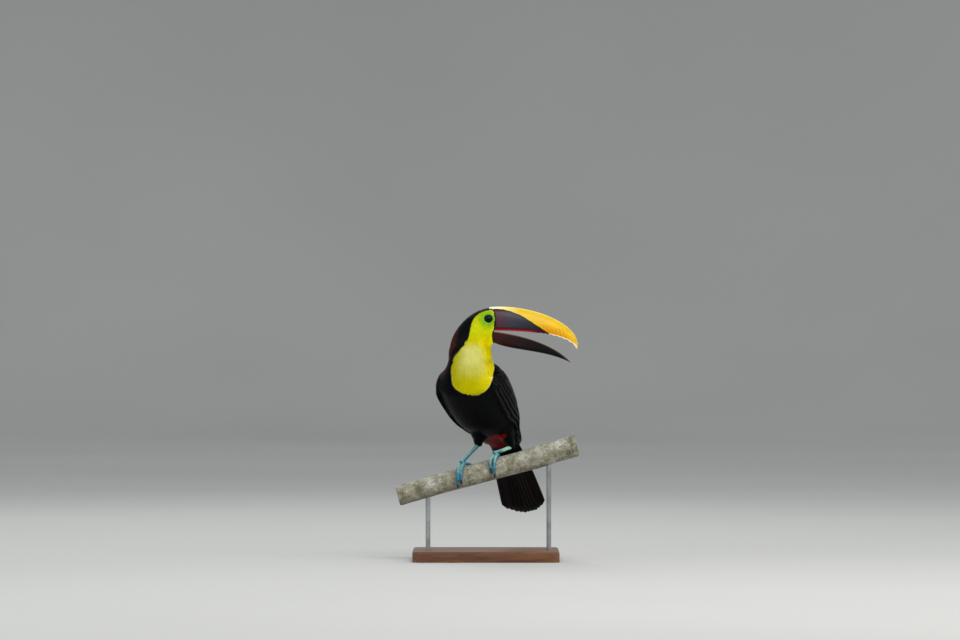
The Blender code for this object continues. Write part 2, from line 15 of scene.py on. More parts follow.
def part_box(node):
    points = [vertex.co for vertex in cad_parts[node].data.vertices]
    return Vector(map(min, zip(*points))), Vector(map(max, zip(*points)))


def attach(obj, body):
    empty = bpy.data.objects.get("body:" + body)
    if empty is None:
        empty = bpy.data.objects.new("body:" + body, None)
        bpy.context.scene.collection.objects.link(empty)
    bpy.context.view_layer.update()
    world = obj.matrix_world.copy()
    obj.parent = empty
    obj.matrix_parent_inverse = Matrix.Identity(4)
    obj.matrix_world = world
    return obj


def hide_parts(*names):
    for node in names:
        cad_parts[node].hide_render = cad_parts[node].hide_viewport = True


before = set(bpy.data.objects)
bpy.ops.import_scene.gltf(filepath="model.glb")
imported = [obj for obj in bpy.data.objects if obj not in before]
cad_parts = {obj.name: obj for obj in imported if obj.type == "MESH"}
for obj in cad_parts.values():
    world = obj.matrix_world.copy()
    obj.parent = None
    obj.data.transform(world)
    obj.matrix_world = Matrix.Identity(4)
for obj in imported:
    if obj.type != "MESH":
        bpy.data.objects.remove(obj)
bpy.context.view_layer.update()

MM = 0.001
RANDOM = np.random.default_rng(11)
EYES_MIDDLE = np.array((14.3, -25.0, 262.6))  # the point between the eyes, from the perch's middle
HEAD_Y = EYES_MIDDLE[1]
SIDES = ("right", "left")  # the bird's own


def corners(node):
    low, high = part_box(node)
    return np.array(low) / MM, np.array(high) / MM


def centre(node):
    return sum(corners(node)) / 2


ORIGIN = (centre("eye_right") + centre("eye_left")) / 2 - EYES_MIDDLE
BILL_BASE = corners("bill_upper")[0][0] - ORIGIN[0]

# ---------------------------------------------------------------- small tools


def unit(v):
    v = np.asarray(v, float)
    return v / np.maximum(np.linalg.norm(v, axis=-1, keepdims=True), 1e-9)


def ramp(x, low, high):
    """Smoothly from 0 at low to 1 at high; works with low above high too."""
    q = np.clip((np.asarray(x, float) - low) / (high - low), 0.0, 1.0)
    return q * q * (3 - 2 * q)


def blend(a, b, share):
    return a + (b - a) * share


def colour(code):
    """A hex colour as linear light."""
    s = np.array([int(code[i : i + 2], 16) / 255 for i in (0, 2, 4)])
    return np.where(s <= 0.04045, s / 12.92, ((s + 0.055) / 1.055) ** 2.4)


def bezier(controls, q):
    q = np.asarray(q, float)[..., None]
    a, b, c, d = (np.array(p, float) for p in controls)
    return (1 - q) ** 3 * a + 3 * q * (1 - q) ** 2 * b + 3 * q * q * (1 - q) * c + q**3 * d


def full_turn(count):
    """Angles once round a circle, the end left out."""
    return np.linspace(0.0, 2 * math.pi, count, endpoint=False)


def laid_flat(ways, normals):
    """Ways turned to lie in the surface that has these normals."""
    return unit(ways - normals * (ways * normals).sum(axis=1, keepdims=True))


def curve(table, x):
    """Rows read along a smooth curve at the wanted values of their first column."""
    table = np.array(table, float)
    keys = table[:, 0]
    slopes = np.gradient(table[:, 1:], keys, axis=0)
    x = np.clip(np.asarray(x, float), keys[0], keys[-1])
    i = np.clip(np.searchsorted(keys, x) - 1, 0, len(keys) - 2)
    step = (keys[i + 1] - keys[i])[..., None]
    q = (x - keys[i])[..., None] / step
    start = (1 + 2 * q) * (1 - q) ** 2 * table[i, 1:] + q * (1 - q) ** 2 * step * slopes[i]
    return start + q * q * (3 - 2 * q) * table[i + 1, 1:] - q * q * (1 - q) * step * slopes[i + 1]


def read_mesh(mesh):
    """A mesh's points, measured from the perch's middle, and its normals."""
    place, out = np.empty((2, len(mesh.vertices) * 3))
    mesh.vertices.foreach_get("co", place)
    mesh.vertices.foreach_get("normal", out)
    return place.reshape(-1, 3) / MM - ORIGIN, out.reshape(-1, 3)


def cad_mesh(nodes, grow=0.0):
    """The points, faces and owners of CAD nodes together, moved out along their normals by grow."""
    points, faces, owners = [], [], []
    count = 0
    for node in nodes:
        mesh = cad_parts[node].data
        place, out = read_mesh(mesh)
        points.append(place + grow * out)
        faces += [[i + count for i in f.vertices] for f in mesh.polygons]
        owners += [node] * len(mesh.polygons)
        count += len(mesh.vertices)
    return np.vstack(points), faces, owners


def tree_of(nodes):
    points, faces, _ = cad_mesh(nodes)
    return BVHTree.FromPolygons(points.tolist(), faces)


def add_object(name, data):
    made = bpy.data.objects.new(name, data)
    bpy.context.scene.collection.objects.link(made)
    return made


def make_mesh(name, points, faces):
    mesh = bpy.data.meshes.new(name)
    world = (np.asarray(points, float) + ORIGIN) * MM
    if isinstance(faces, np.ndarray):
        corner_count = faces.shape[1]
        mesh.vertices.add(len(world))
        mesh.vertices.foreach_set("co", world.ravel())
        mesh.loops.add(faces.size)
        mesh.loops.foreach_set("vertex_index", faces.ravel().astype(np.int32))
        mesh.polygons.add(len(faces))
        mesh.polygons.foreach_set("loop_start", np.arange(0, faces.size, corner_count, dtype=np.int32))
        mesh.update(calc_edges=True)
    else:
        mesh.from_pydata(world.tolist(), [], faces)
    return mesh


def piece(name, points, faces, finish, replaces=(), fields=None, uv=None, normals=None):
    """A smooth mesh piece that rides on the body, with named numbers or colours at its points."""
    mesh = make_mesh(name, points, faces)
    mesh.materials.append(finish)
    mesh.shade_smooth()
    for field, values in (fields or {}).items():
        values = np.asarray(values, float)
        if values.ndim == 1:
            mesh.attributes.new(field, "FLOAT", "POINT").data.foreach_set("value", values)
        else:
            padded = np.ones((len(values), 4))
            padded[:, :3] = values
            mesh.attributes.new(field, "FLOAT_COLOR", "POINT").data.foreach_set("color", padded.ravel())
    if uv is not None:
        layer = mesh.uv_layers.new(name="OFBake")
        order = np.empty(len(mesh.loops), int)
        mesh.loops.foreach_get("vertex_index", order)
        layer.data.foreach_set("uv", np.asarray(uv, float)[order].ravel())
    if normals is not None:
        mesh.normals_split_custom_set_from_vertices(normals.tolist())
    made = add_object(name, mesh)
    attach(made, "root")
    if replaces:
        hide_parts(*replaces)


def tube_faces(rings, sides):
    """Quads of a tube of closed rings of points."""
    i, j = np.meshgrid(np.arange(rings - 1), np.arange(sides), indexing="ij")
    a = i * sides + j
    b = i * sides + (j + 1) % sides
    return np.stack((a, b, b + sides, a + sides), axis=-1).reshape(-1, 4)


def flat_map(points):
    """A map of places seen from the front, all of it between 0 and 1."""
    low, high = points.min(axis=0), points.max(axis=0)
    return ((points - low) / (high - low).max())[:, (0, 2)]


def fractal(points, scale, detail):
    """Soft noise of about -1 to 1 at places, with features about scale millimetres across."""
    return np.array([noise.fractal(Vector(p) / scale, 1.0, 2.0, detail) for p in points])


# ---------------------------------------------------------------- materials


class Finish:
    """A material whose nodes are added one by one.

    Sockets are set by name or by number, and a string is a hex colour.
    """

    def __init__(self, name, **settings):
        self.material = bpy.data.materials.new(name)
        self.material.use_nodes = True
        self.tree = self.material.node_tree
        self.shader = self.tree.nodes["Principled BSDF"]
        self.set(self.shader, settings)

    def set(self, node, inputs):
        for key, value in inputs.items():
            socket = node.inputs[key.replace("_", " ") if isinstance(key, str) else key]
            if isinstance(value, bpy.types.NodeSocket):
                self.tree.links.new(value, socket)
            else:
                socket.default_value = (*colour(value), 1.0) if isinstance(value, str) else value

    def add(self, kind, settings=None, **inputs):
        node = self.tree.nodes.new("ShaderNode" + kind)
        for key, value in (settings or {}).items():
            setattr(node, key, value)
        self.set(node, inputs)
        return node

    def field(self, name, colours=False):
        node = self.add("Attribute", {"attribute_name": name})
        return node.outputs["Color" if colours else "Fac"]

    def place(self, scale=(1.0, 1.0, 1.0)):
        """Places on the object in metres, stretched by a scale."""
        node = self.add("Mapping", Vector=self.add("TexCoord").outputs["Object"])
        node.inputs["Scale"].default_value = scale
        return node.outputs["Vector"]

    def noise(self, scale, detail=3.0, rough=0.5, at=None):
        node = self.add("TexNoise", Scale=scale, Detail=detail, Roughness=rough, Vector=at or self.place())
        return node.outputs["Fac"]

    def cells(self, scale, feature="DISTANCE_TO_EDGE"):
        node = self.add("TexVoronoi", {"feature": feature}, Scale=scale, Vector=self.place())
        return node.outputs["Distance"]

    def steps(self, value, *stops):
        """A ramp of (place, colour) stops; a bare number stands for a grey."""
        node = self.add("ValToRGB", Fac=value)
        band = node.color_ramp
        while len(band.elements) < len(stops):
            band.elements.new(1.0)
        for element, (at, shade) in zip(band.elements, stops):
            element.position = at
            element.color = (*(colour(shade) if isinstance(shade, str) else (shade,) * 3), 1.0)
        return node.outputs["Color"]

    def patches(self, scale, detail, low, high):
        """Soft patches of one shade among another."""
        return self.steps(self.noise(scale, detail), (0.3, low), (0.7, high))

    def range(self, value, low, high, to_low=0.0, to_high=1.0):
        node = self.add("MapRange", {"interpolation_type": "SMOOTHSTEP"}, Value=value)
        for key, number in (("From Min", low), ("From Max", high), ("To Min", to_low), ("To Max", to_high)):
            node.inputs[key].default_value = number
        return node.outputs["Result"]

    def math(self, operation, a, b=0.0):
        node = self.add("Math", {"operation": operation})
        self.set(node, {0: a, 1: b})
        return node.outputs[0]

    def times(self, a, b):
        return self.math("MULTIPLY", a, b)

    def plus(self, a, b):
        return self.math("ADD", a, b)

    def mix(self, share, a, b, how="MIX"):
        node = self.add("Mix", {"data_type": "RGBA", "blend_type": how})
        self.set(node, {0: share, 6: a, 7: b})
        return node.outputs[2]

    def dimmed(self, shade, by):
        return self.mix(1.0, shade, by, "MULTIPLY")

    def over(self, shade, tint, value, low, high, most=1.0):
        """The shade, with a tint laid over it as a value passes from low to high."""
        return self.mix(self.range(value, low, high, 0.0, most), shade, tint)

    def bump(self, height, strength, distance):
        """Raises the surface by a height of 0 to 1; the distance is in metres."""
        before = self.shader.inputs["Normal"]
        node = self.add("Bump", Height=height, Strength=strength, Distance=distance)
        if before.is_linked:
            self.tree.links.new(before.links[0].from_socket, node.inputs["Normal"])
        self.tree.links.new(node.outputs["Normal"], before)

    def finish(self, **inputs):
        self.set(self.shader, inputs)
        return self.material


# ---------------------------------------------------------------- stage, camera and lights

CAMERA_BACK = 9110.0  # from the perch's middle
CAMERA_HEIGHT = 261.0
CAMERA_LENS = 200.0
FLOOR_FLAT = 9500.0
BOWL_RADIUS = 12500.0
BOWL_HEIGHT = 4200.0
BREAST_HEIGHT = 110.0
# name, place in metres from the perch, size in metres, power in watts and tint
LAMPS = (
    ("key", (0.9, -2.3, 2.9), 1.8, 66.0, (1.0, 0.98, 0.95)),
    ("fill", (-2.6, -2.8, 1.2), 2.0, 27.0, (0.95, 0.98, 1.0)),
    ("side", (2.8, -1.8, 1.3), 1.8, 37.0, (1.0, 0.99, 0.97)),
    ("top_back", (-0.6, 2.0, 2.4), 1.4, 24.0, (1.0, 1.0, 1.0)),
)


def make_camera():
    lens = bpy.data.cameras.new("photo_view")
    lens.lens = CAMERA_LENS
    lens.sensor_width = 36.0
    lens.clip_start = 0.05
    lens.clip_end = 60.0
    camera = add_object("photo_view", lens)
    camera.location = (ORIGIN + (0.0, -CAMERA_BACK, CAMERA_HEIGHT)) * MM
    camera.rotation_euler = (math.pi / 2, 0.0, 0.0)
    bpy.context.scene.camera = camera


def make_stage():
    """A pale floor that turns up into a low wall all round, open to the sky."""
    floor = -ORIGIN[2]
    profile = [(r, 0.0) for r in np.linspace(0.0, FLOOR_FLAT, 4)]
    turn = BOWL_RADIUS - FLOOR_FLAT
    for a in np.linspace(0.1, math.pi / 2, 14):
        profile.append((FLOOR_FLAT + turn * math.sin(a), turn * (1 - math.cos(a))))
    profile.append((BOWL_RADIUS, BOWL_HEIGHT))
    sides = 96
    turns = full_turn(sides)
    rings = [[(r * math.cos(a), r * math.sin(a), floor + h) for a in turns] for r, h in profile]
    paint = Finish("stage_paint", Roughness=0.9)
    tone = paint.noise(0.6, 2.0)
    paint.finish(Base_Color=paint.steps(tone, (0.3, "babab7"), (0.7, "c0c0bd")))
    mesh = make_mesh("stage_bowl", np.vstack(rings), tube_faces(len(rings), sides))
    mesh.materials.append(paint.material)
    mesh.shade_smooth()
    bowl = add_object("stage_bowl", mesh)


def make_light(name, place, size, power, tint):
    """A soft square lamp that looks at the bird's breast."""
    data = bpy.data.lights.new(name, "AREA")
    data.size = size
    data.energy = power
    data.color = tint
    lamp = add_object(name, data)
    middle = Vector((ORIGIN + (0.0, 0.0, BREAST_HEIGHT)) * MM)
    lamp.location = Vector(ORIGIN * MM) + Vector(place)
    lamp.rotation_euler = (middle - lamp.location).to_track_quat("-Z", "Y").to_euler()


def make_lights():
    world = bpy.data.worlds.new("sky")
    world.use_nodes = True
    sky = world.node_tree.nodes["Background"]
    sky.inputs["Color"].default_value = (0.93, 0.97, 1.0, 1.0)
    sky.inputs["Strength"].default_value = 0.62
    bpy.context.scene.world = world
    bpy.context.scene.view_settings.view_transform = "Standard"
    for lamp in LAMPS:
        make_light(*lamp)



# ---------------------------------------------------------------- the body's own directions

# the line through the middle of head, neck, trunk and tail
SPINE = (
    (24.0, -25.0, 251.0), (4.0, -25.0, 243.0), (-10.0, -25.0, 228.0), (-16.5, -25.0, 208.0),
    (-17.5, -23.0, 187.0), (-12.0, -12.0, 150.0), (2.0, 12.0, 115.0), (16.0, 34.0, 84.0),
    (39.0, 56.0, 51.0), (64.0, 92.0, -17.0), (81.0, 119.0, -71.0),
)
SPINE_STEPS = 90
TRUNK_MIDDLE = np.array(SPINE[6])
TRUNK_ALONG = unit((-0.310, -0.540, 0.783))
TRUNK_LEFT = unit((0.910, -0.407, 0.080))
TRUNK_FRONT = np.cross(TRUNK_LEFT, TRUNK_ALONG)
THIGHS = {
    "right": ((0.0, 18.0, 88.0), (-3.0, 25.0, 47.0)),
    "left": ((39.0, 14.0, 86.0), (54.0, 33.0, 43.5)),
}


def lay_spine():
    """Points along the spine, their headings to the tail, and directions across it without a twist."""
    knots = np.array(SPINE)
    reach = np.concatenate(([0.0], np.cumsum(np.linalg.norm(np.diff(knots, axis=0), axis=1))))
    table = np.column_stack((reach, knots))
    points = curve(table, np.linspace(0.0, reach[-1], SPINE_STEPS))
    heading = unit(np.gradient(points, axis=0))
    across = []
    up = np.array((0.0, 0.0, 1.0))
    for direction in heading:
        up = unit(up - direction * (up @ direction))
        across.append(up)
    return points, heading, np.array(across)


SPINE_POINTS, SPINE_HEADING, SPINE_BACK = lay_spine()


def body_place(points):
    """For each point: how far down the spine it is, 0 to 1, the way to the tail, and its bearing."""
    spread = 16.0  # millimetres over which the spine's points are averaged
    at_once = 4000
    near, lay, bearing = [], [], []
    for part in np.array_split(points, max(1, len(points) // at_once)):
        gap = ((part[:, None, :] - SPINE_POINTS[None]) ** 2).sum(axis=2)
        weight = np.exp(-(gap - gap.min(axis=1, keepdims=True)) / (2 * spread**2))
        weight /= weight.sum(axis=1, keepdims=True)
        step = weight @ np.arange(SPINE_STEPS)
        heading = unit(weight @ SPINE_HEADING)
        back = unit(weight @ SPINE_BACK)
        out = part - weight @ SPINE_POINTS
        side = np.cross(heading, back)
        near.append(step / (SPINE_STEPS - 1))
        lay.append(heading)
        bearing.append(np.arctan2((out * side).sum(axis=1), (out * back).sum(axis=1)))
    return np.concatenate(near), np.vstack(lay), np.concatenate(bearing)


def inset(places):
    """Places of 0 to 1 on a map, kept a little off its edges."""
    return 0.02 + 0.96 * places


def unwrap(points):
    """An unrolled map of the skin: bearing round the spine across, distance down it upwards."""
    near, _, bearing = body_place(points)
    return inset(np.column_stack((bearing / (2 * math.pi) + 0.5, near)))


# ---------------------------------------------------------------- markings

# height, then the x where the yellow face ends
FACE_EDGE = (
    (205.0, -42.0), (213.0, -33.0), (220.0, -26.5), (227.0, -21.5), (236.0, -18.0), (247.0, -16.0),
    (255.0, -14.0), (262.0, -11.0), (269.0, -5.0), (274.0, 3.0), (277.0, 13.0), (279.0, 26.0),
)
FACE_TOP = 278.5
GREENEST = (EYES_MIDDLE[0] - 2.0, EYES_MIDDLE[2] - 0.5)  # x and height
# height, then the bib's middle and its half-width as bearings in degrees, 0 to the front of the stand
BIB = (
    (118.0, -2.0, -40.0), (134.0, -4.0, 0.0), (135.0, -4.0, 10.0), (137.0, -4.0, 17.5),
    (141.0, -4.0, 26.0), (147.0, -3.0, 34.0), (155.0, -1.0, 40.5), (164.0, 2.0, 45.0),
    (171.0, 6.0, 52.5), (178.0, 12.0, 62.0), (190.0, 25.0, 76.0), (200.0, 38.0, 87.0),
    (213.0, 58.0, 89.0), (230.0, 80.0, 92.0),
)
# height, then the x and y of the neck's middle
NECK_AXIS = (
    (120.0, -4.0, 2.0), (150.0, -13.0, -9.5), (170.0, -15.5, -14.0), (190.0, -16.5, -21.0),
    (210.0, -16.0, -25.0), (240.0, -12.0, -25.0),
)
NECK_ROUND = 45.0  # the neck's radius, which turns bearings into millimetres
RED_LOWEST = 43.0  # the feathers under the tail are red down to this height
RED_RIGHT = 13.0  # and from this x on the bird's right
RED_LEFT = 47.0  # to this one on its left
RUMP_SIDE = 54.0  # the x where the cream feathers over the tail end
BIB_SIDE = 22.5  # the x where the bib ends towards the left shoulder
# height, then the x where the bill's base meets the face
BILL_LINE = (
    (215.0, 26.0), (220.0, 24.6), (226.0, 22.0), (233.0, 21.4), (240.0, 21.8), (246.0, 24.4),
    (254.0, 25.9), (266.0, 26.2), (272.0, 25.0), (276.5, 22.4), (279.0, 18.4), (284.0, 15.8),
)

BLACK = colour("07080b")
WING_BLACK = colour("0c0b0d")
CHESTNUT = colour("48211a")
BIB_GOLD = colour("d4cb00")
# painted light: the brighter yellow laid on the bib where light falls, towards the viewer's right and higher
# up
BIB_PAINTED_LIGHT = colour("ffec00")
BIB_PALE = colour("ece880")
FACE_YELLOW = colour("d2d600")
FACE_GREEN = colour("74ae00")
RIM_CREAM = colour("ece8b4")
RED = colour("7e0408")
CREAM = colour("e9e4d0")
GAPE_BLACK = colour("120c0c")


def bib_place(points):
    """Millimetres inside the yellow, negative outside, and the bearing round the neck in degrees."""
    x, y, z = points.T
    axis = curve(NECK_AXIS, z)
    middle, half = curve(BIB, z).T
    bearing = np.degrees(np.arctan2(x - axis[:, 0], -(y - axis[:, 1])))
    off = (bearing - middle + 180.0) % 360.0 - 180.0
    inside = np.radians(half - np.abs(off)) * NECK_ROUND
    inside = np.minimum(inside, BIB_SIDE - x + 20.0 * ramp(z, 192.0, 208.0))
    face = np.minimum(x - curve(FACE_EDGE, z)[:, 0], FACE_TOP - z)
    share = ramp(z, 213.0, 228.0)
    return blend(inside, face, share), bearing


def inside_yellow(points):
    return bib_place(points)[0]


def eye_distance(points):
    return np.hypot(points[:, 0] - EYES_MIDDLE[0], points[:, 2] - EYES_MIDDLE[2])


def bill_gap(points):
    """How far behind the bill's base each place is."""
    return curve(BILL_LINE, points[:, 2])[:, 0] - points[:, 0]


def yellow_colour(points, bearing):
    z = points[:, 2:3]
    bearing = bearing[:, None]
    # Painted light: the bib's gold is painted brighter towards the viewer's right and higher up, where the
    # light falls.
    tint = blend(BIB_GOLD, BIB_PAINTED_LIGHT, ramp(bearing, 5.0, 48.0) * ramp(z, 136.0, 160.0))
    pale = ramp(np.abs(bearing - 4.0), 50.0, 14.0) * ramp(z, 154.0, 196.0) * ramp(z, 226.0, 206.0)
    tint = blend(tint, BIB_PALE, 0.95 * pale)
    tint = blend(tint, FACE_YELLOW, ramp(z, 220.0, 240.0))
    from_green = np.hypot(points[:, 0:1] - GREENEST[0], z - GREENEST[1])
    return blend(tint, FACE_GREEN, 0.95 * ramp(from_green, 21.0, 8.0))


def trunk_place(points):
    """Distance up the trunk's axis, out to the bird's left, and out to its breast."""
    out = points - TRUNK_MIDDLE
    return out @ TRUNK_ALONG, out @ TRUNK_LEFT, out @ TRUNK_FRONT


def markings(points, owners, jitter=0.0):
    """The colour of skin and coat alike at places on the bird."""
    inside, bearing = bib_place(points)
    inside = (inside + jitter)[:, None]
    z = points[:, 2:3]
    along, left, front = trunk_place(points)
    wing = np.char.startswith(owners, "wing")[:, None]
    tint = np.where(wing & (inside < 0), WING_BLACK, BLACK)
    near = np.where(wing, 17.0, blend(9.0, 15.0, ramp(z, 194.0, 216.0)))
    nape = ramp(-inside, near, near + 10.0) * ramp(z, 156.0, 182.0) * ramp(z, 296.0, 276.0)
    tint = blend(tint, CHESTNUT, nape)
    rim = 0.45 * ramp(inside, 2.6, 0.3) * ramp(z, 222.0, 200.0)
    yellow = blend(yellow_colour(points, bearing), RIM_CREAM, rim)
    tint = blend(tint, yellow, ramp(inside, -0.6, 0.6))
    behind = (along < -47.0) & (front > 0) & (np.abs(left) < 1.6 * front + 9.0)
    red = ((owners == "undertail_coverts") | (behind & (owners == "trunk"))) & (points[:, 2] > RED_LOWEST)
    red = red & (points[:, 0] > RED_RIGHT) & (points[:, 0] < RED_LEFT)
    tint = np.where(red[:, None], RED, tint)
    over = (owners == "uppertail_coverts") | ((along < -66.0) & (front < -2.0) & (owners == "trunk"))
    tint = np.where((over & (points[:, 0] < RUMP_SIDE))[:, None], CREAM, tint)
    at_bill = ramp(bill_gap(points)[:, None], 1.5, 0.5) * (z > 216.0)
    return blend(tint, GAPE_BLACK, at_bill)


# ---------------------------------------------------------------- skin

FLESH = (
    "head", "neck", "trunk", "thigh_right", "thigh_left",
    "undertail_coverts", "uppertail_coverts", "wing_right", "wing_left",
)
SKIN_GRAIN = 1.5  # the size of the skin's mesh
SKIN_CLOSE = 1.3  # grown this much before the pieces are fused, so that the cuts between them close
# height, then the x that the chin's skin reaches at most
CHIN = (
    (205.0, 20.2), (212.0, 18.8), (216.0, 18.6), (219.0, 19.4), (221.5, 22.0), (224.0, 26.0),
)


def coat_depth(points, owners):
    """How far the skin lies inside the plumage's outline."""
    inside = inside_yellow(points)
    z, x = points[:, 2], points[:, 0]
    depth = np.full(len(points), 3.8)
    for start, value in (("wing", 2.2), ("thigh", 1.6), ("undertail", 2.4), ("uppertail", 2.4)):
        depth[np.char.startswith(owners, start)] = value
    depth = np.where(np.isin(owners, ("neck", "head")), 3.2, depth)
    head = ramp(z, 205.0, 245.0)
    depth = blend(depth, np.where(inside > 0, 0.7, 1.6), head)
    depth = blend(depth, 0.35, ramp(eye_distance(points), 20.0, 12.0) * (z > 240.0))
    return blend(depth, 0.3, ramp(x, BILL_BASE - 8.0, BILL_BASE - 2.0) * (z > 215.0))


def evaluated(points, faces, modifiers):
    """The points, faces and normals of a mesh after some of Blender's modifiers, set in metres."""
    helper = add_object("helper", make_mesh("helper", points, faces))
    for kind, settings in modifiers:
        modifier = helper.modifiers.new(kind, kind)
        for key, value in settings.items():
            setattr(modifier, key, value)
    result = helper.evaluated_get(bpy.context.evaluated_depsgraph_get()).to_mesh()
    place, out = read_mesh(result)
    faces = np.empty(len(result.loops), int)
    result.loops.foreach_get("vertex_index", faces)
    faces = faces.reshape(len(result.polygons), -1)
    bpy.data.objects.remove(helper)
    return place, faces, out


def owners_of(points, nodes):
    """Which of some CAD nodes is nearest to each point."""
    cad_points, cad_faces, owners = cad_mesh(nodes)
    tree = BVHTree.FromPolygons(cad_points.tolist(), cad_faces)
    return np.array([owners[tree.find_nearest(p)[2]] for p in points])


def spread_out(values, faces, times):
    """Numbers at points, evened out over their faces."""
    values = values.copy()
    count = np.bincount(faces.ravel(), minlength=len(values))
    for _ in range(times):
        at_face = values[faces].mean(axis=1)
        total = np.bincount(faces.ravel(), np.repeat(at_face, faces.shape[1]), minlength=len(values))
        values = total / count
    return values


def fuse(nodes, grain, close, rounds):
    """The nodes' solids as one closed mesh of even quads, grown by close and smoothed some rounds."""
    points, faces, _ = cad_mesh(nodes, close)
    remesh = ("REMESH", {"mode": "VOXEL", "voxel_size": grain * MM})
    smooth = ("SMOOTH", {"factor": 0.5, "iterations": rounds})
    return evaluated(points, faces, (remesh, smooth))


class Skin:
    """The one skin, with the lay of the plumage at each point."""

    def __init__(self):
        points, faces, normals = fuse(FLESH, SKIN_GRAIN, SKIN_CLOSE, 10)
        self.owners = owners_of(points, FLESH)
        depth = spread_out(coat_depth(points, self.owners), faces, 12)
        self.points = points - normals * (SKIN_CLOSE + depth)[:, None]
        self.faces = faces
        self.depth = depth
        self.draw_back_chin()
        self.settle_normals()
        self.tree = BVHTree.FromPolygons(self.points.tolist(), faces.tolist())
        self.lay = self.lay_of_plumage()

    def draw_back_chin(self):
        height = self.points[:, 2]
        at_chin = (height > CHIN[0][0]) & (height < CHIN[-1][0])
        reach = np.where(at_chin, curve(CHIN, height)[:, 0], np.inf)
        self.points[:, 0] = np.minimum(self.points[:, 0], reach)

    def settle_normals(self):
        a, b, c, d = (self.points[self.faces[:, i]] for i in range(4))
        across = np.cross(c - a, d - b)
        self.areas = np.linalg.norm(across, axis=1) / 2
        normals = np.zeros_like(self.points)
        for i in range(4):
            np.add.at(normals, self.faces[:, i], across)
        self.normals = unit(normals)

    def lay_of_plumage(self):
        _, lay, _ = body_place(self.points)
        for side, (top, heel) in THIGHS.items():
            on_thigh = spread_out((self.owners == f"thigh_{side}").astype(float), self.faces, 8)
            lay = blend(lay, unit(np.subtract(heel, top)), on_thigh[:, None])
        return unit(lay)


# ---------------------------------------------------------------- tufts and small feathers

EDGE_LAP = 0.2  # how far tufts may reach over the yellow's edge
PATCH = 0.0014  # half the size of a tuft's patch on the map
COLOURED_AT = 0.7  # a tuft takes the colour of the place under this share of its length
ROUNDNESS = 0.35  # how round a blade is shaded from edge to edge
BLADE_RINGS = {3: (0.0, 0.42, 0.8), 2: (0.0, 0.5)}  # shares of a blade's length
BLADE_THICK = 0.25


def scatter(skin, spacing, where):
    """Even-spread roots at the skin's points: spacing in millimetres at each point, where it is true."""
    cell = 4.0
    taken = {}
    roots = []
    for i in RANDOM.permutation(np.flatnonzero(where)):
        place = skin.points[i]
        home = tuple((place // cell).astype(int))
        reach = int(np.ceil(spacing[i] / cell))
        span = range(-reach, reach + 1)
        cells = ((home[0] + a, home[1] + b, home[2] + c) for a in span for b in span for c in span)
        near = (q for around in cells for q in taken.get(around, ()))
        if all(((q - place) ** 2).sum() > spacing[i] ** 2 for q in near):
            taken.setdefault(home, []).append(place)
            roots.append(i)
    return np.array(roots)


def sprinkle(skin, spacing, where):
    """Roots strewn at random over the skin's faces, about spacing apart, as faces and places on them."""
    face_where = where[skin.faces].all(axis=1)
    gap = spacing[skin.faces].mean(axis=1)
    chance = np.where(face_where, skin.areas / gap**2, 0.0)
    count = RANDOM.poisson(chance)
    return np.repeat(np.arange(len(skin.faces)), count)


class Roots:
    """Where tufts grow: place, outward normal, lay and owner of each."""

    def __init__(self, skin, chosen, on_faces):
        corner, weights = chosen[:, None], (1.0,)
        if on_faces:
            corner = skin.faces[chosen]
            q, r = RANDOM.random((2, len(chosen), 1))
            weights = (1 - q) * (1 - r), q * (1 - r), q * r, (1 - q) * r
        self.points, normals, lay, depth = (
            sum(w * field[corner[:, i]] for i, w in enumerate(weights))
            for field in (skin.points, skin.normals, skin.lay, skin.depth[:, None])
        )
        self.owners = skin.owners[corner[:, 0]]
        self.normals = unit(normals)
        self.lay = laid_flat(lay, self.normals)
        self.depth = depth[:, 0]

    def __len__(self):
        return len(self.points)


def trace(skin, roots, lengths, turn, steps=3):
    """Paths that follow the skin from each root; turn is a change of heading in radians."""
    side = np.cross(roots.normals, roots.lay)
    heading = roots.lay * np.cos(turn)[:, None] + side * np.sin(turn)[:, None]
    path = [roots.points]
    normals = [roots.normals]
    for _ in range(steps):
        goal = path[-1] + heading * (lengths / steps)[:, None]
        place, normal = np.empty_like(goal), np.empty_like(goal)
        for i, p in enumerate(goal):
            found = skin.tree.find_nearest(p)
            place[i], normal[i] = found[0], found[1]
        normal = unit(normal + normals[-1])
        heading = laid_flat(heading, normal)
        path.append(place)
        normals.append(normal)
    return np.stack(path, axis=1), np.stack(normals, axis=1)


def along_path(path, share):
    """Places at a share of each path, one share for each."""
    steps = path.shape[1] - 1
    at = np.clip(share, 0.0, 1.0) * steps
    i = np.minimum(at.astype(int), steps - 1)
    rows = np.arange(len(path))
    return blend(path[rows, i], path[rows, i + 1], (at - i)[:, None])


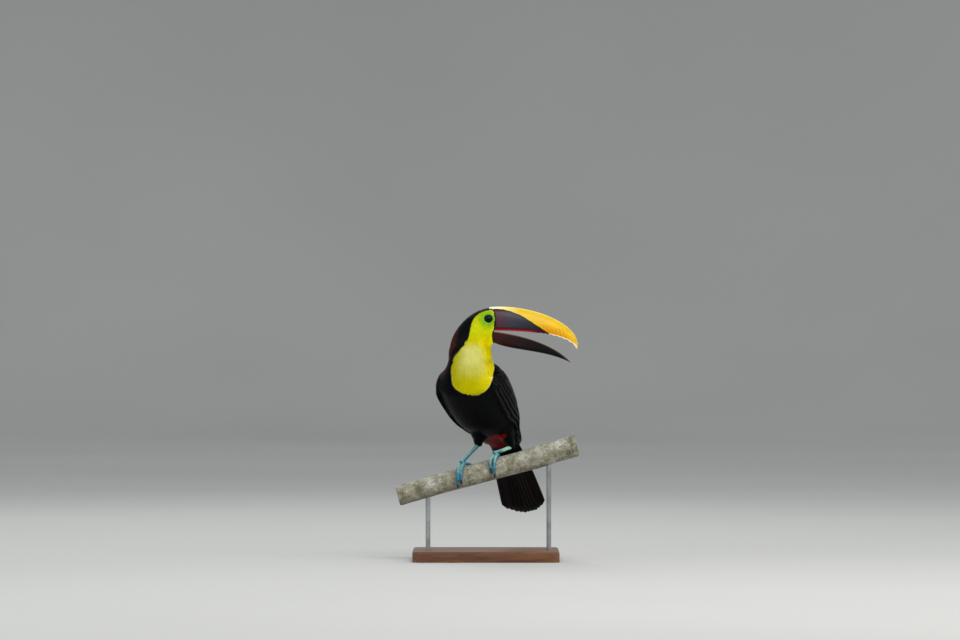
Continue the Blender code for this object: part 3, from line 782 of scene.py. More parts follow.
def blades(path, normals, width, lift, fan=(0.0,), blade=1.0, rings=3):
    """Closed blades in each tuft, fanned out from its root.

    width is half the tuft's width, lift the tip's height over the skin, and blade a blade's width
    beside the tuft's. Returns the points, the triangles, and for each point its tuft, its share of
    the length and its place across the tuft.
    """
    shares = BLADE_RINGS[rings]
    count = len(path)
    points, shading, tufts, lengths, sides = [], [], [], [], []
    for slant in fan:
        reach = 1.0 - 0.22 * slant * slant
        for share in (*shares, 1.0):
            at = np.full(count, share * reach)
            place, out = along_path(path, at), unit(along_path(normals, at))
            ahead = unit(along_path(path, at + 0.05) - along_path(path, at - 0.05))
            side = np.cross(out, ahead)
            spread = width * slant * (0.25 + 0.75 * share**0.7)
            height = lift * (0.1 + 0.9 * share**1.3) - 0.12 * slant * slant * width * share
            middle = place + side * spread[:, None] + out * height[:, None]
            if share == 1.0:
                points.append(middle)
                shading.append(out)
                marks = (0.0,)
            else:
                half = (width * blade * (0.55 + 0.45 * math.sin(math.pi * (0.15 + share * 0.8))))[:, None]
                ridge = middle + out * BLADE_THICK * (1.1 - share)
                points += [middle - side * half, ridge, middle + side * half]
                shading += [unit(out - ROUNDNESS * side), out, unit(out + ROUNDNESS * side)]
                marks = (-1.0, 0.0, 1.0)
            for mark in marks:
                tufts.append(np.arange(count))
                lengths.append(np.full(count, share))
                sides.append(np.full(count, 0.75 * slant + 0.25 * mark))
    per = 3 * len(shares) + 1
    pattern = blade_faces(len(shares))
    faces = []
    for number in range(len(fan)):
        base = (number * per + pattern)[None] * count + np.arange(count)[:, None, None]
        faces.append(base.reshape(-1, 3))
    return tuple(np.concatenate(part) for part in (points, shading, faces, tufts, lengths, sides))


def blade_faces(rings):
    """The triangles of one closed blade: rings of three points, then the tip."""
    faces = [(0, 1, 2)]
    for ring in range(rings - 1):
        for i in range(3):
            a, b = ring * 3 + i, ring * 3 + (i + 1) % 3
            faces += [(a, b + 3, b), (a, a + 3, b + 3)]
    last = 3 * (rings - 1)
    faces += [(last + (i + 1) % 3, last + i, last + 3) for i in range(3)]
    return np.array(faces)


def trimmed(roots, lengths):
    """The share of each tuft's length that stays, so that the tips end at the yellow's edge."""
    here = inside_yellow(roots.points)
    there = inside_yellow(roots.points + roots.lay * lengths[:, None])
    sign = np.where(here > 0, 1.0, -1.0)
    kept = (here * sign + EDGE_LAP) / np.maximum(np.abs(here - there), 0.1)
    return np.where(there * sign < -EDGE_LAP, np.clip(kept, 0.2, 1.0), 1.0)


def coat(name, skin, roots, finish, length, width, style):
    """One piece of tufts; length and width are given for each root in millimetres.

    In its style, wild is how far headings stray, stray how far markings do, and vary how far colours
    do. fan, blade and rings shape each tuft's blades.
    """
    count = len(roots)
    lengths = length * (1.0 + 0.14 * RANDOM.standard_normal(count).clip(-2, 2))
    lengths = lengths * trimmed(roots, lengths)
    path, normals = trace(skin, roots, lengths, style["wild"] * RANDOM.standard_normal(count))
    lift = roots.depth * (0.92 + 0.2 * RANDOM.random(count))
    shape = {key: style[key] for key in ("fan", "blade", "rings") if key in style}
    points, shading, faces, tufts, down, across = blades(path, normals, width, lift, **shape)
    shown = along_path(path, np.full(count, COLOURED_AT))
    tint = markings(shown, roots.owners, RANDOM.normal(0.0, style["stray"], count))
    tint = tint * (1.0 + style["vary"] * RANDOM.standard_normal((count, 1)).clip(-2, 2))
    home = unwrap(roots.points)
    uv = home[tufts] + PATCH * np.column_stack((across, 2 * down - 1))
    fields = {"tint": tint[tufts], "down": down}
    piece(name, points, faces, finish, fields=fields, uv=uv, normals=shading)


# ---------------------------------------------------------------- plumage


def plumage(name, rough, gloss, patchy):
    """Fine barbs over each tuft's own colour, in patches a little darker and lighter."""
    made = Finish(name, Roughness=rough, Specular_IOR_Level=gloss)
    broad = made.patches(90.0, 3.0, 1.0 - patchy, 1.0 + patchy)
    fine = made.patches(1400.0, 2.0, 1.0 - patchy, 1.0 + 0.5 * patchy)
    made.bump(made.noise(1100.0, 2.0, 0.6), 0.2, 0.0003)
    shade = made.dimmed(made.dimmed(made.field("tint", colours=True), broad), fine)
    return made.finish(Base_Color=shade)


def skin_finish(name):
    """Bare skin: the coat's colours, finely wrinkled, with pores."""
    made = Finish(name, Roughness=0.5, Specular_IOR_Level=0.18)
    blotches = made.patches(220.0, 4.0, 0.86, 1.08)
    made.bump(made.cells(900.0), 0.5, 0.0003)
    made.bump(made.noise(500.0, 4.0), 0.4, 0.0004)
    return made.finish(Base_Color=made.dimmed(made.field("tint", colours=True), blotches))


def dress_skin(skin):
    fields = {"tint": markings(skin.points, skin.owners)}
    finish = skin_finish("bird_skin")
    piece("skin", skin.points, skin.faces, finish, FLESH, fields, unwrap(skin.points))


FAN_WIDE = (-1.0, -0.5, 0.0, 0.5, 1.0)
FAN_THREE = (-0.8, 0.0, 0.8)
# the wing's small feathers end this far up the trunk, where the long coverts begin to hide them
SHOULDER_LOWEST = 10.0


def bib_length(points):
    return blend(2.2, 9.0, ramp(eye_distance(points), 10.0, 95.0))


def cap_length(points):
    return blend(7.0, 2.6, ramp(points[:, 0], -45.0, 18.0))


def near_edge(points, short, full, reach):
    """A size that shrinks towards the yellow's edge."""
    inside = inside_yellow(points)
    return blend(short, full, ramp(-inside, 2.0, reach))


def dress_plumage(skin):
    """The small feathers, from the largest on the body to the finest on the face."""
    reach = COLOURED_AT * bib_length(skin.points)[:, None]
    inside = inside_yellow(skin.points + skin.lay * reach)
    z = skin.points[:, 2]
    along, _, front = trunk_place(skin.points)
    owners = skin.owners
    wing = np.char.startswith(owners, "wing")
    thigh = np.char.startswith(owners, "thigh")
    coverts = np.char.endswith(owners, "coverts")
    clear = (bill_gap(skin.points) > 0.9) | (z < 216.0)
    here = inside_yellow(skin.points)
    yellow = (here > 0.4) & (inside > -9.0) & ~coverts & ~thigh & (z > 125.0)
    body = ~yellow & ~thigh & ~coverts
    on_head = body & (z > 236.0)
    nape = body & ~wing & (z > 178.0) & ~on_head
    trunk = body & ~wing & ~on_head & ~nape
    shoulder = body & wing & ~on_head & ~nape
    black = plumage("black_plumage", 0.38, 0.06, 0.12)
    nape_finish = plumage("nape_plumage", 0.5, 0.08, 0.12)
    silk = plumage("bib_plumage", 0.6, 0.05, 0.05)
    red = plumage("undertail_plumage", 0.55, 0.05, 0.1)

    def grow(name, where, gap, length, width, finish, slot, style, even=True):
        """One piece of the coat: gap and length in millimetres, width as a share of the length."""
        where = where & clear
        gap = np.broadcast_to(gap, z.shape)
        chosen = scatter(skin, gap, where) if even else sprinkle(skin, gap, where)
        roots = Roots(skin, chosen, not even)
        picked = length(roots.points) if callable(length) else np.full(len(roots), float(length))
        return coat(name, skin, roots, finish, picked, picked * width, style)

    big = {"fan": FAN_WIDE, "blade": 0.34, "wild": 0.1, "vary": 0.12, "stray": 0.0}
    three = {**big, "fan": FAN_THREE, "blade": 0.5}
    breast_gap = near_edge(skin.points, 2.1, 3.7, 18.0)
    nape_gap = near_edge(skin.points, 1.7, 2.8, 14.0)

    def breast_length(points):
        return near_edge(points, 7.0, 15.0, 18.0)

    def nape_length(points):
        return near_edge(points, 5.5, 10.0, 14.0)

    grow("coat_breast", trunk & (front > 0), breast_gap, breast_length, 0.2, black, "plumage_black", big)
    grow("coat_back", trunk & (front <= 0), breast_gap, breast_length, 0.2, black, "plumage_black", big)
    grow("coat_nape", nape, nape_gap, nape_length, 0.2, nape_finish, "plumage_chestnut", three)
    for side in SIDES:
        small = shoulder & (owners == f"wing_{side}") & (along > SHOULDER_LOWEST)
        grow(f"coat_shoulder_{side}", small, 4.2, 14.0, 0.26, black, "plumage_black", big)
        on_side = thigh & (owners == f"thigh_{side}")
        grow(f"coat_thigh_{side}", on_side, 2.4, 9.0, 0.18, black, "plumage_black", three)
    grow("coat_undertail", owners == "undertail_coverts", 3.4, 14.0, 0.2, red, "plumage_red", big)
    rump = (owners == "uppertail_coverts") & (skin.points[:, 0] < RUMP_SIDE - 6.0)
    grow("coat_uppertail", rump, 3.4, 14.0, 0.2, silk, "plumage_cream", big)
    cap = {"wild": 0.15, "rings": 2, "vary": 0.1, "stray": 0.0}
    grow("coat_cap", on_head, 1.25, cap_length, 0.12, black, "plumage_black", cap, even=False)
    fine = {"wild": 0.08, "rings": 2, "vary": 0.03, "stray": 0.3}
    bib = yellow & (eye_distance(skin.points) > 10.5)
    grow("coat_bib", bib & (z < 190.0), 1.2, bib_length, 0.11, silk, "plumage_yellow", fine, even=False)
    grow("coat_throat", bib & (z >= 190.0), 1.05, bib_length, 0.12, silk, "plumage_yellow", fine, even=False)


# ---------------------------------------------------------------- wing and tail feathers

VANE_ROWS = 18
VANE_SIDES = 7
VANE_THICK = 0.5
WING_INSET = 1.5  # degrees that the rows of feathers keep off the wing's edges
WING_SLICE = 8.0  # between the places where a wing's edges are read
RAY_START = 120.0  # from the trunk's axis, well outside the wing


def vane(path, normals, half_width, tilt, crown, rounding=0.22, square=False):
    """A flight feather as a closed thin blade along a path of points.

    tilt raises one edge and lowers the other, crown raises the shaft, and rounding is the share of
    the length over which the tip closes. Returns the points, the faces, and for each point its share
    of the length, its place across, and 1 on the underside.
    """
    share = np.linspace(0.0, 1.0, VANE_ROWS)
    ahead = unit(np.gradient(path, axis=0))
    side = np.cross(normals, ahead)
    tip = np.sqrt(np.clip(1 - (np.clip(share - 1 + rounding, 0, None) / rounding) ** 2, 0.004, 1))
    if square:
        tip = np.clip(tip, 0.0, 1.0) ** 0.6
    width = half_width * tip * np.clip(share / 0.12, 0.25, 1.0) ** 0.5
    across = np.linspace(-1.0, 1.0, VANE_SIDES)
    top = []
    for a in across:
        height = crown * (1 - abs(a)) ** 2 + tilt * a
        top.append(path + side * (width * a)[:, None] + normals * (height * tip)[:, None])
    top = np.stack(top, axis=1)
    bottom = top - (normals * VANE_THICK * tip[:, None])[:, None, :]
    rings = np.concatenate((top, bottom[:, ::-1]), axis=1)
    sides = 2 * VANE_SIDES
    j = np.arange(VANE_SIDES - 1)
    cap = np.stack((j, j + 1, sides - 2 - j, sides - 1 - j), axis=-1)
    faces = np.vstack((tube_faces(VANE_ROWS, sides), cap[:, ::-1], cap + (VANE_ROWS - 1) * sides))
    down = np.repeat(share, sides)
    over = np.tile(np.concatenate((across, across[::-1])), VANE_ROWS)
    under = np.tile(np.repeat((0.0, 1.0), VANE_SIDES), VANE_ROWS)
    return rings.reshape(-1, 3), faces, down, over, under


def vane_finish(name, tint, edge):
    """Barbs that slant out from a shaft, glossy, with paler edges that are partly wear and partly a painted
    sheen.
    """
    made = Finish(name, Roughness=0.38, Specular_IOR_Level=0.16)
    width = made.math("ABSOLUTE", made.field("across"))
    slant = made.math("SUBTRACT", made.field("down"), made.times(width, 0.12))
    lines = made.math("SINE", made.times(slant, 900.0))
    # Paler feather edges: partly wear, partly a painted sheen.
    wear_and_sheen = made.plus(width, made.times(made.noise(420.0, 3.0), 0.3))
    shade = made.over(tint, edge, wear_and_sheen, 0.98, 1.18)
    shade = made.dimmed(shade, made.patches(260.0, 2.0, 0.8, 1.15))
    made.bump(made.range(lines, -1.0, 1.0), 0.25, 0.0002)
    made.bump(made.range(width, 0.1, 0.0), 0.6, 0.0005)
    return made.finish(Base_Color=shade)


def vanes(name, made, finish, replaces=()):
    """Several flight feathers as one piece, each on a strip of its own in the map."""
    parts = []
    count = 0
    for number, (place, face, down, across, under) in enumerate(made):
        strip = (number + 0.25 + 0.25 * (across / 2 + 0.5) + 0.35 * under) / len(made)
        parts.append((place, face + count, down, across, np.column_stack((strip, inset(down)))))
        count += len(place)
    points, faces, down, across, uv = (np.concatenate(part) for part in zip(*parts))
    piece(name, points, faces, finish, replaces, {"down": down, "across": across}, uv)


class Wing:
    """The outer surface of one folded wing, by distance up the trunk and share from edge to edge."""

    def __init__(self, side):
        nodes = (f"wing_{side}", f"primaries_{side}")
        self.tree = tree_of(nodes)
        along, left, front = trunk_place(cad_mesh(nodes)[0])
        self.sign = 1.0 if side == "left" else -1.0
        angle = np.degrees(np.arctan2(self.sign * (left - self.bend(along)), front)) % 360.0
        self.span = []
        for key in np.arange(-120.0, 65.0, WING_SLICE):
            near = angle[np.abs(along - key) < WING_SLICE + 1.0]
            self.span.append((key, near.min() + WING_INSET, near.max() - WING_INSET))

    @staticmethod
    def bend(along):
        """How far the rear of the body swings to the left of the trunk's axis."""
        return 9.5 * ramp(along, -30.0, -90.0)

    def place(self, along, across):
        """The surface point and its outward normal; across is 0 at the lower edge and 1 at the upper."""
        low, high = curve(self.span, np.array([along]))[0]
        angle = math.radians(low + (high - low) * across)
        axis = TRUNK_MIDDLE + TRUNK_ALONG * along + TRUNK_LEFT * self.bend(along)
        out = TRUNK_FRONT * math.cos(angle) + self.sign * TRUNK_LEFT * math.sin(angle)
        hit = self.tree.ray_cast(axis + out * RAY_START, -out)
        if hit[0] is None:
            hit = self.tree.find_nearest(Vector(axis + out * 45.0))
        return np.array(hit[0]), out

    def path(self, start, end, across_start, across_end, lift):
        places, outs = [], []
        for q in np.linspace(0.0, 1.0, VANE_ROWS):
            place, out = self.place(blend(start, end, q), blend(across_start, across_end, q))
            places.append(place)
            outs.append(out)
        outs = unit(np.array(outs))
        places = np.array(places)
        for _ in range(3):
            places[1:-1] = (places[:-2] + 2 * places[1:-1] + places[2:]) / 4
        return places + outs * lift, outs


# name, number, root and tip along the trunk at the lower and the upper edge, half-width, lift, tilt
WING_ROWS = (
    ("primary_feathers", 8, (-44.0, -44.0), (-92.0, -121.0), 6.4, -1.6, 0.7),
    ("secondaries", 10, (4.0, -12.0), (-66.0, -92.0), 7.6, -0.9, 0.8),
    ("greater_coverts", 12, (34.0, 24.0), (-12.0, -26.0), 6.8, -0.3, 0.8),
    ("median_coverts", 13, (50.0, 46.0), (14.0, 4.0), 6.2, 0.1, 0.8),
)


def dress_wing(side):
    """The rows of long feathers, each lapping the one below it, from the primaries up."""
    wing = Wing(side)
    finish = vane_finish(f"wing_vanes_{side}", "0a090a", "1d1918")
    for name, count, roots, tips, width, lift, tilt in WING_ROWS:
        made = []
        for number in range(count):
            across = (number + 0.5) / count
            start = blend(*roots, across) + RANDOM.normal(0.0, 0.8)
            end = blend(*tips, across) + RANDOM.normal(0.0, 1.5)
            lean = 0.5 + (across - 0.5) * 0.92
            path, outs = wing.path(start, end, across, lean, lift)
            made.append(vane(path, outs, width * (0.85 + 0.3 * across), -wing.sign * tilt, crown=0.45))
        stands_for = (f"primaries_{side}",) if name == "primary_feathers" else ()
        vanes(f"{name}_{side}", made, finish, stands_for)


TAIL_FEATHERS = 10
TAIL_HALF_WIDTH = 10.4  # of one feather


def dress_tail():
    """Ten long feathers in a shallow roof, the middle pair on top."""
    points, _, _ = cad_mesh(("tail",))
    middle = points.mean(axis=0)
    _, _, axes = np.linalg.svd(points - middle, full_matrices=False)
    down = axes[0] * (-1 if axes[0][2] > 0 else 1)
    side = axes[1] * (1 if axes[1][0] > 0 else -1)
    up = np.cross(side, down)
    up *= 1 if up[1] > 0 else -1
    reach = (points - middle) @ down
    span = (points - middle) @ side
    start, end = reach.min(), reach.max()
    narrow = np.abs(span[reach < start + 8.0]).max()
    wide = np.abs(span[reach > end - 30.0]).max()
    finish = vane_finish("tail_vanes", "08080a", "151213")
    made = []
    for number in range(TAIL_FEATHERS):
        a = 2 * number / (TAIL_FEATHERS - 1) - 1
        long = end - 12.0 * abs(a) ** 2.5 + RANDOM.normal(0.0, 0.7)
        share = np.linspace(0.0, 1.0, VANE_ROWS)
        along = blend(start - 3.0, long, share)
        out = blend(narrow - 7.0, wide - TAIL_HALF_WIDTH, share) * a
        roof = 1.4 - 3.0 * abs(a) ** 1.6 * share + 0.55 * (1 - abs(a)) * 2
        path = middle + down * along[:, None] + side * out[:, None] + up * roof[:, None]
        width = TAIL_HALF_WIDTH * (0.55 + 0.45 * ramp(share, 0.0, 0.6))
        lie = np.tile(up, (VANE_ROWS, 1))
        made.append(vane(path, lie, width, -0.45 * np.sign(a), crown=0.35, rounding=0.1, square=True))
    vanes("tail_feathers", made, finish, ("tail",))


# ---------------------------------------------------------------- bill

CULMEN = ((BILL_BASE, 283.5), (93.0, 287.5), (178.5, 250.7), (165.0, 211.0))
UPPER_EDGE = ((BILL_BASE, 243.0), (80.0, 243.0), (152.0, 238.0), (165.0, 211.0))
LOWER_EDGE = ((BILL_BASE, 241.0), (70.0, 236.0), (130.0, 219.0), (155.0, 188.0))
GONYS = ((BILL_BASE, 222.0), (55.0, 208.0), (115.0, 210.0), (155.0, 188.0))
BILL_ROWS = 120
BILL_OUTER = 57
BILL_INNER = 15
TOOTH = 9.0  # from one notch of the upper edge to the next
# how the horn laps over the face: share of the way back, and height over the skin
LAPS = ((1.04, -0.9), (1.0, 0.55), (0.8, 0.8), (0.6, 0.85), (0.4, 0.85), (0.2, 0.6))


def bill_rings(back, edge, half_width, hollow, teeth):
    """Sections of one half of the bill, and each point's height over its edge, below 0 inside the mouth."""
    q = np.linspace(0.0, 1.0, BILL_ROWS) ** 0.92 * 0.998
    tops, lows = bezier(back, q), bezier(edge, q)
    narrow = half_width * (1 - q**2.2) ** 0.8 + 0.35
    turn = math.pi * (0.5 - 0.5 * np.cos(np.linspace(0.0, math.pi, BILL_OUTER)))
    side, rise = np.cos(turn), np.sin(turn) ** 0.9
    inner = np.linspace(-1.0, 1.0, BILL_INNER + 2)[1:-1]
    rings, heights = [], []
    for i in range(BILL_ROWS):
        top, low, wide = tops[i], lows[i], narrow[i]
        notched = ramp(low[0], 96.0, 108.0) * ramp(q[i], 0.97, 0.9)
        notch = teeth * (((low[0] - BILL_BASE) / TOOTH) % 1.0) * notched
        over_edge = (top[1] - low[1]) * rise
        over = np.abs(over_edge)
        bite = notch * np.clip(1 - over / 4.0, 0.0, 1.0)
        out_y = HEAD_Y + wide * side * (1 - 0.12 * rise)
        outer = np.column_stack((low[0] + (top[0] - low[0]) * rise, out_y, low[1] + over_edge + bite))
        lift = hollow * (1 - inner**2) ** 0.7 * (top[1] - low[1])
        in_x = np.full(BILL_INNER, low[0])
        under = np.column_stack((in_x, HEAD_Y + 0.86 * wide * inner, low[1] + lift + 0.3 * notch))
        rings.append(np.vstack((outer, under)))
        heights.append(np.concatenate((over, np.full(BILL_INNER, -1.0))))
    return np.array(rings), np.array(heights)


LAP_REACH = 34.0  # the farthest that the face's skin lies from the middle of the bill's base


def bill_lap(ring, skin):
    """The rings by which the horn laps back over the face, the first of them tucked under the skin."""
    core = np.array((0.0, HEAD_Y, ring[:, 2].mean()))
    reach = np.maximum(BILL_BASE - curve(BILL_LINE, ring[:, 2])[:, 0], 0.2)
    reach[BILL_OUTER:] = 0.2
    rings = []
    for share, over in LAPS:
        lapped = ring - np.outer(reach * share, (1.0, 0.0, 0.0))
        for i in range(BILL_OUTER):
            middle = core + (lapped[i, 0], 0.0, 0.0)
            way = unit(lapped[i] - middle)
            hit = skin.tree.ray_cast(middle, way, LAP_REACH)
            if hit[0] is not None:
                far = hit[3] + over
                out = np.linalg.norm(lapped[i] - middle)
                lapped[i] = middle + way * (far if over < 0 else max(far, out * (1 - 0.02 * share)))
        rings.append(lapped)
    return np.array(rings)


def bill_half(half, back, edge, half_width, hollow, teeth, finish, fields, skin):
    rings, heights = bill_rings(back, edge, half_width, hollow, teeth)
    lap = bill_lap(rings[0], skin)
    rings = np.concatenate((lap, rings))
    heights = np.concatenate((np.repeat(heights[:1], len(lap), axis=0), heights))
    rows, sides, _ = rings.shape
    points = rings.reshape(-1, 3)
    faces = tube_faces(rows, sides).tolist()
    faces.append(list(range(sides)))
    faces.append(list(range((rows - 1) * sides, rows * sides))[::-1])
    node = f"bill_{half}"
    turn, down = np.linspace(0.02, 0.98, sides), np.linspace(0.02, 0.98, rows)
    uv = np.column_stack((np.tile(turn, rows), np.repeat(down, sides)))
    piece(f"horn_{half}", points, faces, finish, (node,), fields(points, heights.ravel()), uv)


def line_height(controls, x):
    """The height of one of the bill's outlines over a place x."""
    line = bezier(controls, np.linspace(0.0, 1.0, 300))
    order = np.argsort(line[:, 0])
    return np.interp(x, line[order, 0], line[order, 1])


NOSTRIL = (19.0, 279.6)  # x and height
# the top of the dark wedge on the bill's side: x and height
WEDGE_TOP = (
    (16.0, 277.5), (22.0, 279.5), (35.0, 279.5), (50.0, 276.5),
    (75.0, 266.0), (94.0, 253.5), (107.0, 245.0), (116.0, 239.0),
)


def lower_fields(points, heights):
    return {
        "from_base": points[:, 0] - BILL_BASE,
        "from_line": -bill_gap(points),
        "over_edge": heights,
        "inner": (heights < 0).astype(float),
    }


def upper_fields(points, heights):
    x, _, z = points.T
    top = curve(WEDGE_TOP, x)[:, 0] - 1.6 * np.clip(x - WEDGE_TOP[-1][0], 0.0, None)
    return {
        **lower_fields(points, heights),
        "wedge": top - z,
        "from_line": np.maximum(-bill_gap(points), (z - 278.0) * 2.0),
        "nostril": np.hypot(x - NOSTRIL[0], z - NOSTRIL[1]),
        "ridge": line_height(CULMEN, x) - z,
    }


def horn(name, gloss):
    """Smooth waxy horn with fine growth lines along it."""
    made = Finish(name, Roughness=0.33, Specular_IOR_Level=gloss, Coat_Weight=0.05, Coat_Roughness=0.15)
    lines = made.noise(60.0, 5.0, 0.6, made.place((0.35, 1.0, 2.6)))
    made.bump(lines, 0.3, 0.0006)
    made.bump(made.noise(700.0, 3.0), 0.12, 0.0003)
    return made, lines


def upper_horn():
    made, lines = horn("upper_horn", 0.18)
    edge, base, ridge = (made.field(name) for name in ("over_edge", "from_base", "ridge"))
    wobble = made.times(made.math("SUBTRACT", made.noise(120.0, 3.0), 0.5), 2.4)
    wedge = made.plus(made.field("wedge"), wobble)
    far = made.math("DIVIDE", base, 150.0)
    yellow = made.steps(far, (0.0, "f6eccb"), (0.12, "e6d27a"), (0.3, "e0b900"), (0.95, "dcac00"))
    orange = made.times(made.range(ridge, 9.0, 30.0), made.range(base, 62.0, 92.0, 0.0, 0.85))
    yellow = made.mix(orange, yellow, "cc7e00")
    slant = made.plus(base, made.times(edge, 0.5))
    bars = made.math("SINE", made.plus(made.times(slant, 0.95), made.times(lines, 9.0)))
    stains = made.times(made.range(bars, 0.0, 1.0), made.range(edge, 17.0, 5.0))
    stains = made.times(stains, made.range(base, 66.0, 80.0))
    stains = made.times(stains, made.range(base, 132.0, 112.0, 0.0, 0.55))
    yellow = made.mix(stains, yellow, "b85400")
    # painted highlight: a pale cream line along the top of the culmen
    yellow = made.over(yellow, "f6eaa6", ridge, 2.4, 0.4, 0.45)
    rim = made.times(made.range(edge, 2.0, 1.2), made.range(base, 66.0, 74.0, 0.0, 0.8))
    yellow = made.mix(rim, yellow, "ffefb4")
    near = made.math("DIVIDE", base, 90.0)
    dark = made.steps(
        near, (0.0, "4e1a24"), (0.1, "452a36"), (0.32, "33303b"), (0.72, "1c2429"), (1.0, "131014")
    )
    dark = made.over(dark, "1c1216", wedge, 6.0, 1.0)
    dark = made.over(dark, "2c0a0e", edge, 8.0, 3.6, 0.8)
    red = made.times(made.range(edge, 3.2, 2.3), made.range(base, 80.0, 62.0))
    dark = made.mix(red, dark, "8f0a12")
    shade = made.over(yellow, dark, wedge, -0.5, 0.5)
    shade = made.over(shade, "0b0808", made.field("from_line"), 1.6, 0.9)
    shade = made.over(shade, "060505", made.field("nostril"), 1.9, 1.3)
    shade = made.mix(made.field("inner"), shade, "4a1a10")
    return made.finish(Base_Color=made.dimmed(shade, made.steps(lines, (0.3, 0.86), (0.7, 1.08))))


def lower_horn():
    made, lines = horn("lower_horn", 0.14)
    far = made.math("DIVIDE", made.plus(made.field("from_base"), made.times(lines, 14.0)), 130.0)
    shade = made.steps(far, (0.05, "3a1416"), (0.35, "241213"), (0.62, "0b0a0b"), (0.8, "050606"))
    shade = made.over(shade, "8a6a5c", made.field("over_edge"), 1.6, 0.6, 0.5)
    shade = made.over(shade, "0b0808", made.field("from_line"), 1.5, 0.8)
    shade = made.mix(made.field("inner"), shade, "35120d")
    return made.finish(Base_Color=made.dimmed(shade, made.steps(lines, (0.3, 0.8), (0.7, 1.15))))


def dress_bill(skin):
    """The two halves of the bill: half-widths in millimetres, how deep each is hollowed, and notches."""
    upper, lower = (17.5, 0.4, 1.9), (15.5, 0.45, 0.0)
    bill_half("upper", CULMEN, UPPER_EDGE, *upper, upper_horn(), upper_fields, skin)
    bill_half("lower", GONYS, LOWER_EDGE, *lower, lower_horn(), lower_fields, skin)


# ---------------------------------------------------------------- eyes

EYE_OPEN = 6.7  # radius of the opening between the lids
LID_SIDES = 72
LID_PROBES = (9.5, 11.5, 13.5)  # from the eye's middle to where the face round it is read
# the lid's rings from the inside out: how far beyond the opening, and height
LID_RINGS = (
    (-1.3, -0.5), (-0.3, 0.1), (0.2, 0.55), (0.9, 0.75), (1.7, 0.45), (2.4, 0.55), (3.3, 0.25), (4.3, -0.5),
)


def eye_finish():
    made = Finish("eye_gloss", Roughness=0.07, Coat_Weight=0.1, Coat_Roughness=0.02, Specular_IOR_Level=0.06)
    away = made.field("away")  # from the pupil's middle, in radians
    # The dark iris and pupil are tinted blue: a painted reflection of the sky.
    iris_and_painted_reflection = made.patches(900.0, 3.0, "03141c", "061d28")
    shade = made.over("02090e", iris_and_painted_reflection, away, 0.5, 0.56)
    return made.finish(Base_Color=made.over(shade, "060708", away, 0.74, 0.8))


def eyeball(side, sign, finish):
    """The eyeball with a low bulge over the pupil; the same size as the solid one."""
    low, high = corners(f"eye_{side}")
    middle = (low + high) / 2 - ORIGIN
    radius = (high - low)[0] / 2
    rows, sides = 40, 64
    polar = np.linspace(0.0, math.pi, rows)[:, None]
    turn = full_turn(sides)[None]
    grow = radius * (0.985 + 0.03 * np.exp(-((polar / 0.5) ** 2)))
    x = grow * np.sin(polar) * np.cos(turn)
    z = grow * np.sin(polar) * np.sin(turn)
    y = sign * grow * np.cos(polar) + 0 * turn
    points = middle + np.stack((x, y, z), axis=-1).reshape(-1, 3)
    away = np.repeat(polar[:, 0], sides)
    faces = tube_faces(rows, sides)
    round_it = np.tile(turn[0], rows)
    uv = 0.5 + 0.15 * np.column_stack((np.cos(round_it), np.sin(round_it))) * away[:, None]
    piece(f"eyeball_{side}", points, faces, finish, (f"eye_{side}",), {"away": away}, uv)
    return middle, radius


def lid(side, sign, middle, radius, skin, finish):
    """A ring of bare skin from inside the socket over the eyeball's rim and out onto the face."""
    turns = full_turn(LID_SIDES)
    near = []
    for reach in LID_PROBES:
        for a in turns[::6]:
            start = middle + (reach * math.cos(a), sign * 40.0, reach * math.sin(a))
            hit = skin.tree.ray_cast(start, (0.0, -sign, 0.0))
            if hit[0] is not None:
                near.append(np.array(hit[0]) - middle)
    near = np.array(near)
    flat = np.column_stack((np.ones(len(near)), near[:, 0], near[:, 2], near[:, 0] ** 2, near[:, 2] ** 2))
    fit, *_ = np.linalg.lstsq(flat, near[:, 1], rcond=None)

    def face_height(x, z):
        return fit @ np.array((1.0 + 0 * x, x, z, x * x, z * z))

    rings = []
    for reach, rise in LID_RINGS:
        r = EYE_OPEN + reach + 0.12 * np.cos(2 * turns) * (reach < 2)
        x, z = r * np.cos(turns), r * np.sin(turns)
        ball = np.sqrt(np.clip(radius**2 - r**2, 0.0, None))
        share = ramp(r, EYE_OPEN + 0.2, EYE_OPEN + 2.2)
        y = blend(ball, sign * face_height(x, z), share) + rise * (1 + 0.12 * np.sin(9 * turns + reach * 3))
        rings.append(np.column_stack((x, sign * y, z)) + middle)
    points = np.vstack(rings)
    ring = np.repeat(np.arange(len(LID_RINGS)), LID_SIDES)[:, None]
    tint = blend(colour("356e00"), FACE_GREEN, ramp(ring, 2.0, 6.0))
    tint = blend(colour("060706"), tint, ramp(ring, 2.0, 3.2))
    faces = tube_faces(len(LID_RINGS), LID_SIDES)
    faces = faces[:, ::-1] if sign > 0 else faces
    piece(f"lid_{side}", points, faces, finish, (), {"tint": tint}, unwrap(points))


def dress_eyes(skin):
    """Both eyes, each with its ring of bare skin."""
    gloss, bare = eye_finish(), skin_finish("lid_skin")
    for side, sign in (("right", -1.0), ("left", 1.0)):
        middle, radius = eyeball(side, sign, gloss)
        lid(side, sign, middle, radius, skin, bare)


# ---------------------------------------------------------------- legs and claws

TOES = ("outer_front", "inner_front", "outer_back", "inner_back")
PERCH_SLOPE = math.radians(15.0)
PERCH_ALONG = np.array((math.cos(PERCH_SLOPE), 0.0, math.sin(PERCH_SLOPE)))
PERCH_UP = np.array((-math.sin(PERCH_SLOPE), 0.0, math.cos(PERCH_SLOPE)))
SCUTE = 2.7  # the length of one scale
SCUTE_STEP = 0.22  # how far a scale's edge stands over the next
LEG_GRAIN = 0.62
LEG_CLOSE = 0.25  # grown this much before the pieces are fused
LEG_PROUD = 0.1  # of which this much is left


